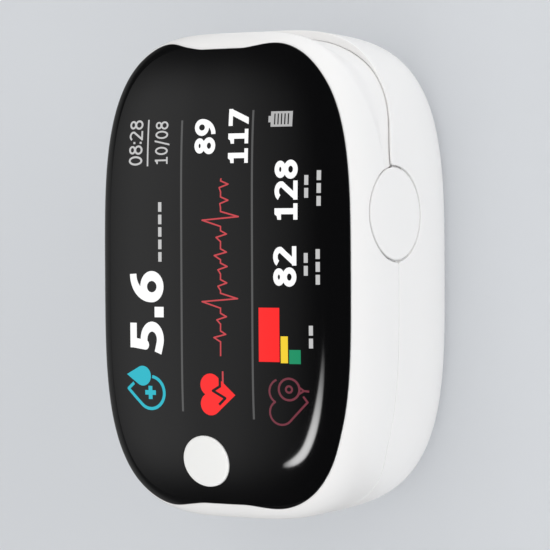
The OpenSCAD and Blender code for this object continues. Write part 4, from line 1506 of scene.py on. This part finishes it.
def tube_lamp():
    """A bent tube lamp, seen by mirrors alone, that draws a soft streak on the lens."""
    material = bpy.data.materials.new("tube_glow")
    tree = emptied(material)
    share = add(tree, "ShaderNodeAttribute", attribute_name="glow").outputs["Fac"]
    level = add(tree, "ShaderNodeMath", {0: share, 1: TUBE_LEVEL}, operation="MULTIPLY")
    light = add(tree, "ShaderNodeEmission", {"Strength": level.outputs[0]})
    add(tree, "ShaderNodeOutputMaterial", {"Surface": light.outputs[0]})

    stops = np.array([(x, y, width, share) for (x, y), width, share in TUBE])
    run = run_along(stops[:, :2])
    steps = np.linspace(0, run[-1], 80)
    rows = np.column_stack([np.interp(steps, run, stops[:, k]) for k in range(4)])
    for _ in range(60):  # evens its bends out
        rows[1:-1] = (rows[:-2] + 2 * rows[1:-1] + rows[2:]) / 4
    middle = np.column_stack([rows[:, :2], 0 * steps + TUBE_HIGH])
    along = unit(np.gradient(middle, axis=0))
    across = unit(np.cross(along, np.array(MIDDLE) - middle))
    places, shares = np.array(TUBE_FADE).T
    reach = rows[:, 2, None] * places
    verts = (middle[:, None] + across[:, None] * reach[..., None]).reshape(-1, 3) / MM
    n = len(places)
    corners = [n * i + j for i in range(len(rows) - 1) for j in range(n - 1)]
    faces = [(c, c + 1, c + n + 1, c + n) for c in corners]
    ribbon = piece("tube_lamp", verts, faces, material)
    glow = ribbon.data.attributes.new("glow", "FLOAT", "POINT")
    glow.data.foreach_set("value", (rows[:, 3, None] * shares).ravel())
    mirrored_only(ribbon)


def mirrored_only(obj):
    """Leaves a piece of the studio to mirrors, unseen otherwise."""
    obj.visible_camera = obj.visible_diffuse = obj.visible_shadow = False
    obj.visible_transmission = False


CARDS = {  # dark cards on the table, seen only in reflections, whose grey paints shade into the lens: lowest and highest corner, in metres
    "far_card": ((-0.6, 0.02), (0.6, 0.6)),
    "mouth_card": ((-0.6, -0.08), (-0.033, 0.02)),
}
MIRROR_SHADE_HALF = 0.12  # how far from the middle the far card's painted shade turns black
# grey of the far card along X: a painted dark reflection on the lens, lightest in the middle, black
# at its ends
MIRROR_SHADE_RAMP = ((0.02, 0.02), (0.14, 0.06), (0.33, 0.155), (0.58, 0.155), (0.7, 0.08), (0.78, 0.0))


def cards():
    """Dark cards beside the meter, seen by mirrors alone, that keep the table off the lens: painted
    shade in its reflections, graded along X on the far card.
    """
    for name, corners in CARDS.items():
        # painted shade: a flat grey seen only in the lens's reflections
        mirror_shade, tree, shader = finish(f"{name}_felt", "#565656", 0.9)
        if name == "far_card":
            tinted(tree, shader, share_along(tree, MIRROR_SHADE_HALF), MIRROR_SHADE_RAMP, "B_SPLINE")
        mirrored_only(sheet(name, *corners, 1, mirror_shade))


LAMPS = {  # place and size in metres, and power in watts
    "top_lamp": ((0.1, 0.15, 0.7), (0.7, 0.6), 0.75),
    "front_lamp": ((0.32, -0.55, 0.15), (0.7, 0.28), 1.42),
    "mouth_lamp": ((-0.62, -0.1, 0.2), (0.4, 0.3), 1.0),
    "tail_lamp": ((0.7, 0.05, 0.25), (0.4, 0.4), 0.5),
}


def lights():
    """Soft lamps over, before and beside the meter, and a tube lamp that draws a streak."""
    for name, settings in LAMPS.items():
        lamp(name, *settings)
    tube_lamp()


VIEW_TILT, VIEW_YAW, VIEW_ROLL = 0.48, -0.0399, 0.0399  # radians
VIEW_FAR = 300.0  # camera's distance from the middle of the body
VIEW_SCALE = 7.987  # pixels a millimetre has at that distance
VIEW_U, VIEW_V = 276.37, 276.53  # where the body's middle falls in the upright picture
VIEW_SIZE, SENSOR = 550, 36.0


def camera():
    """Looks down on the meter from its near side, the picture turned a quarter turn."""
    cy, sy = math.cos(VIEW_YAW), math.sin(VIEW_YAW)
    ct, st = math.cos(VIEW_TILT), math.sin(VIEW_TILT)
    turn = Matrix(((1, 0, 0), (0, ct, st), (0, -st, ct))) @ Matrix(
        ((cy, -sy, 0), (sy, cy, 0), (0, 0, 1))
    )
    back = turn.transposed()
    right = back @ Vector((math.cos(VIEW_ROLL), -math.sin(VIEW_ROLL), 0))
    up = back @ Vector((math.sin(VIEW_ROLL), math.cos(VIEW_ROLL), 0))
    out = back @ Vector((0, 0, 1))
    data = bpy.data.cameras.new("camera")
    data.sensor_width = SENSOR
    data.lens = VIEW_SCALE * VIEW_FAR * SENSOR / VIEW_SIZE
    data.shift_x = (VIEW_SIZE / 2 - VIEW_V) / VIEW_SIZE
    data.shift_y = ((VIEW_SIZE - 1 - VIEW_U) - VIEW_SIZE / 2) / VIEW_SIZE
    data.clip_start, data.clip_end = 0.01, 10
    made = placed(data)
    place = (out * VIEW_FAR + Vector([v / MM for v in MIDDLE])) * MM
    axes = Matrix((-up, right, out)).transposed().to_4x4()
    made.matrix_world = Matrix.Translation(place) @ axes
    bpy.context.scene.camera = made


camera()
stage()
room()
cards()
lights()
lower_shell()
upper_shell()
front_lens()
power_button()
for hand in (-1, 1):
    pivot_cap(hand)
battery_door()
finger_pad("lower_finger_pad", "lower_pad", False, "detector_window")
finger_pad("upper_finger_pad", "upper_pad", True, "emitter_window")
for hand in (-1, 1):
    hinge_spring(hand)
flat_flex_cable()
readings()
battery_mark()
colour_marks()
dress_nodes()

bpy.context.scene.view_settings.view_transform = "Standard"
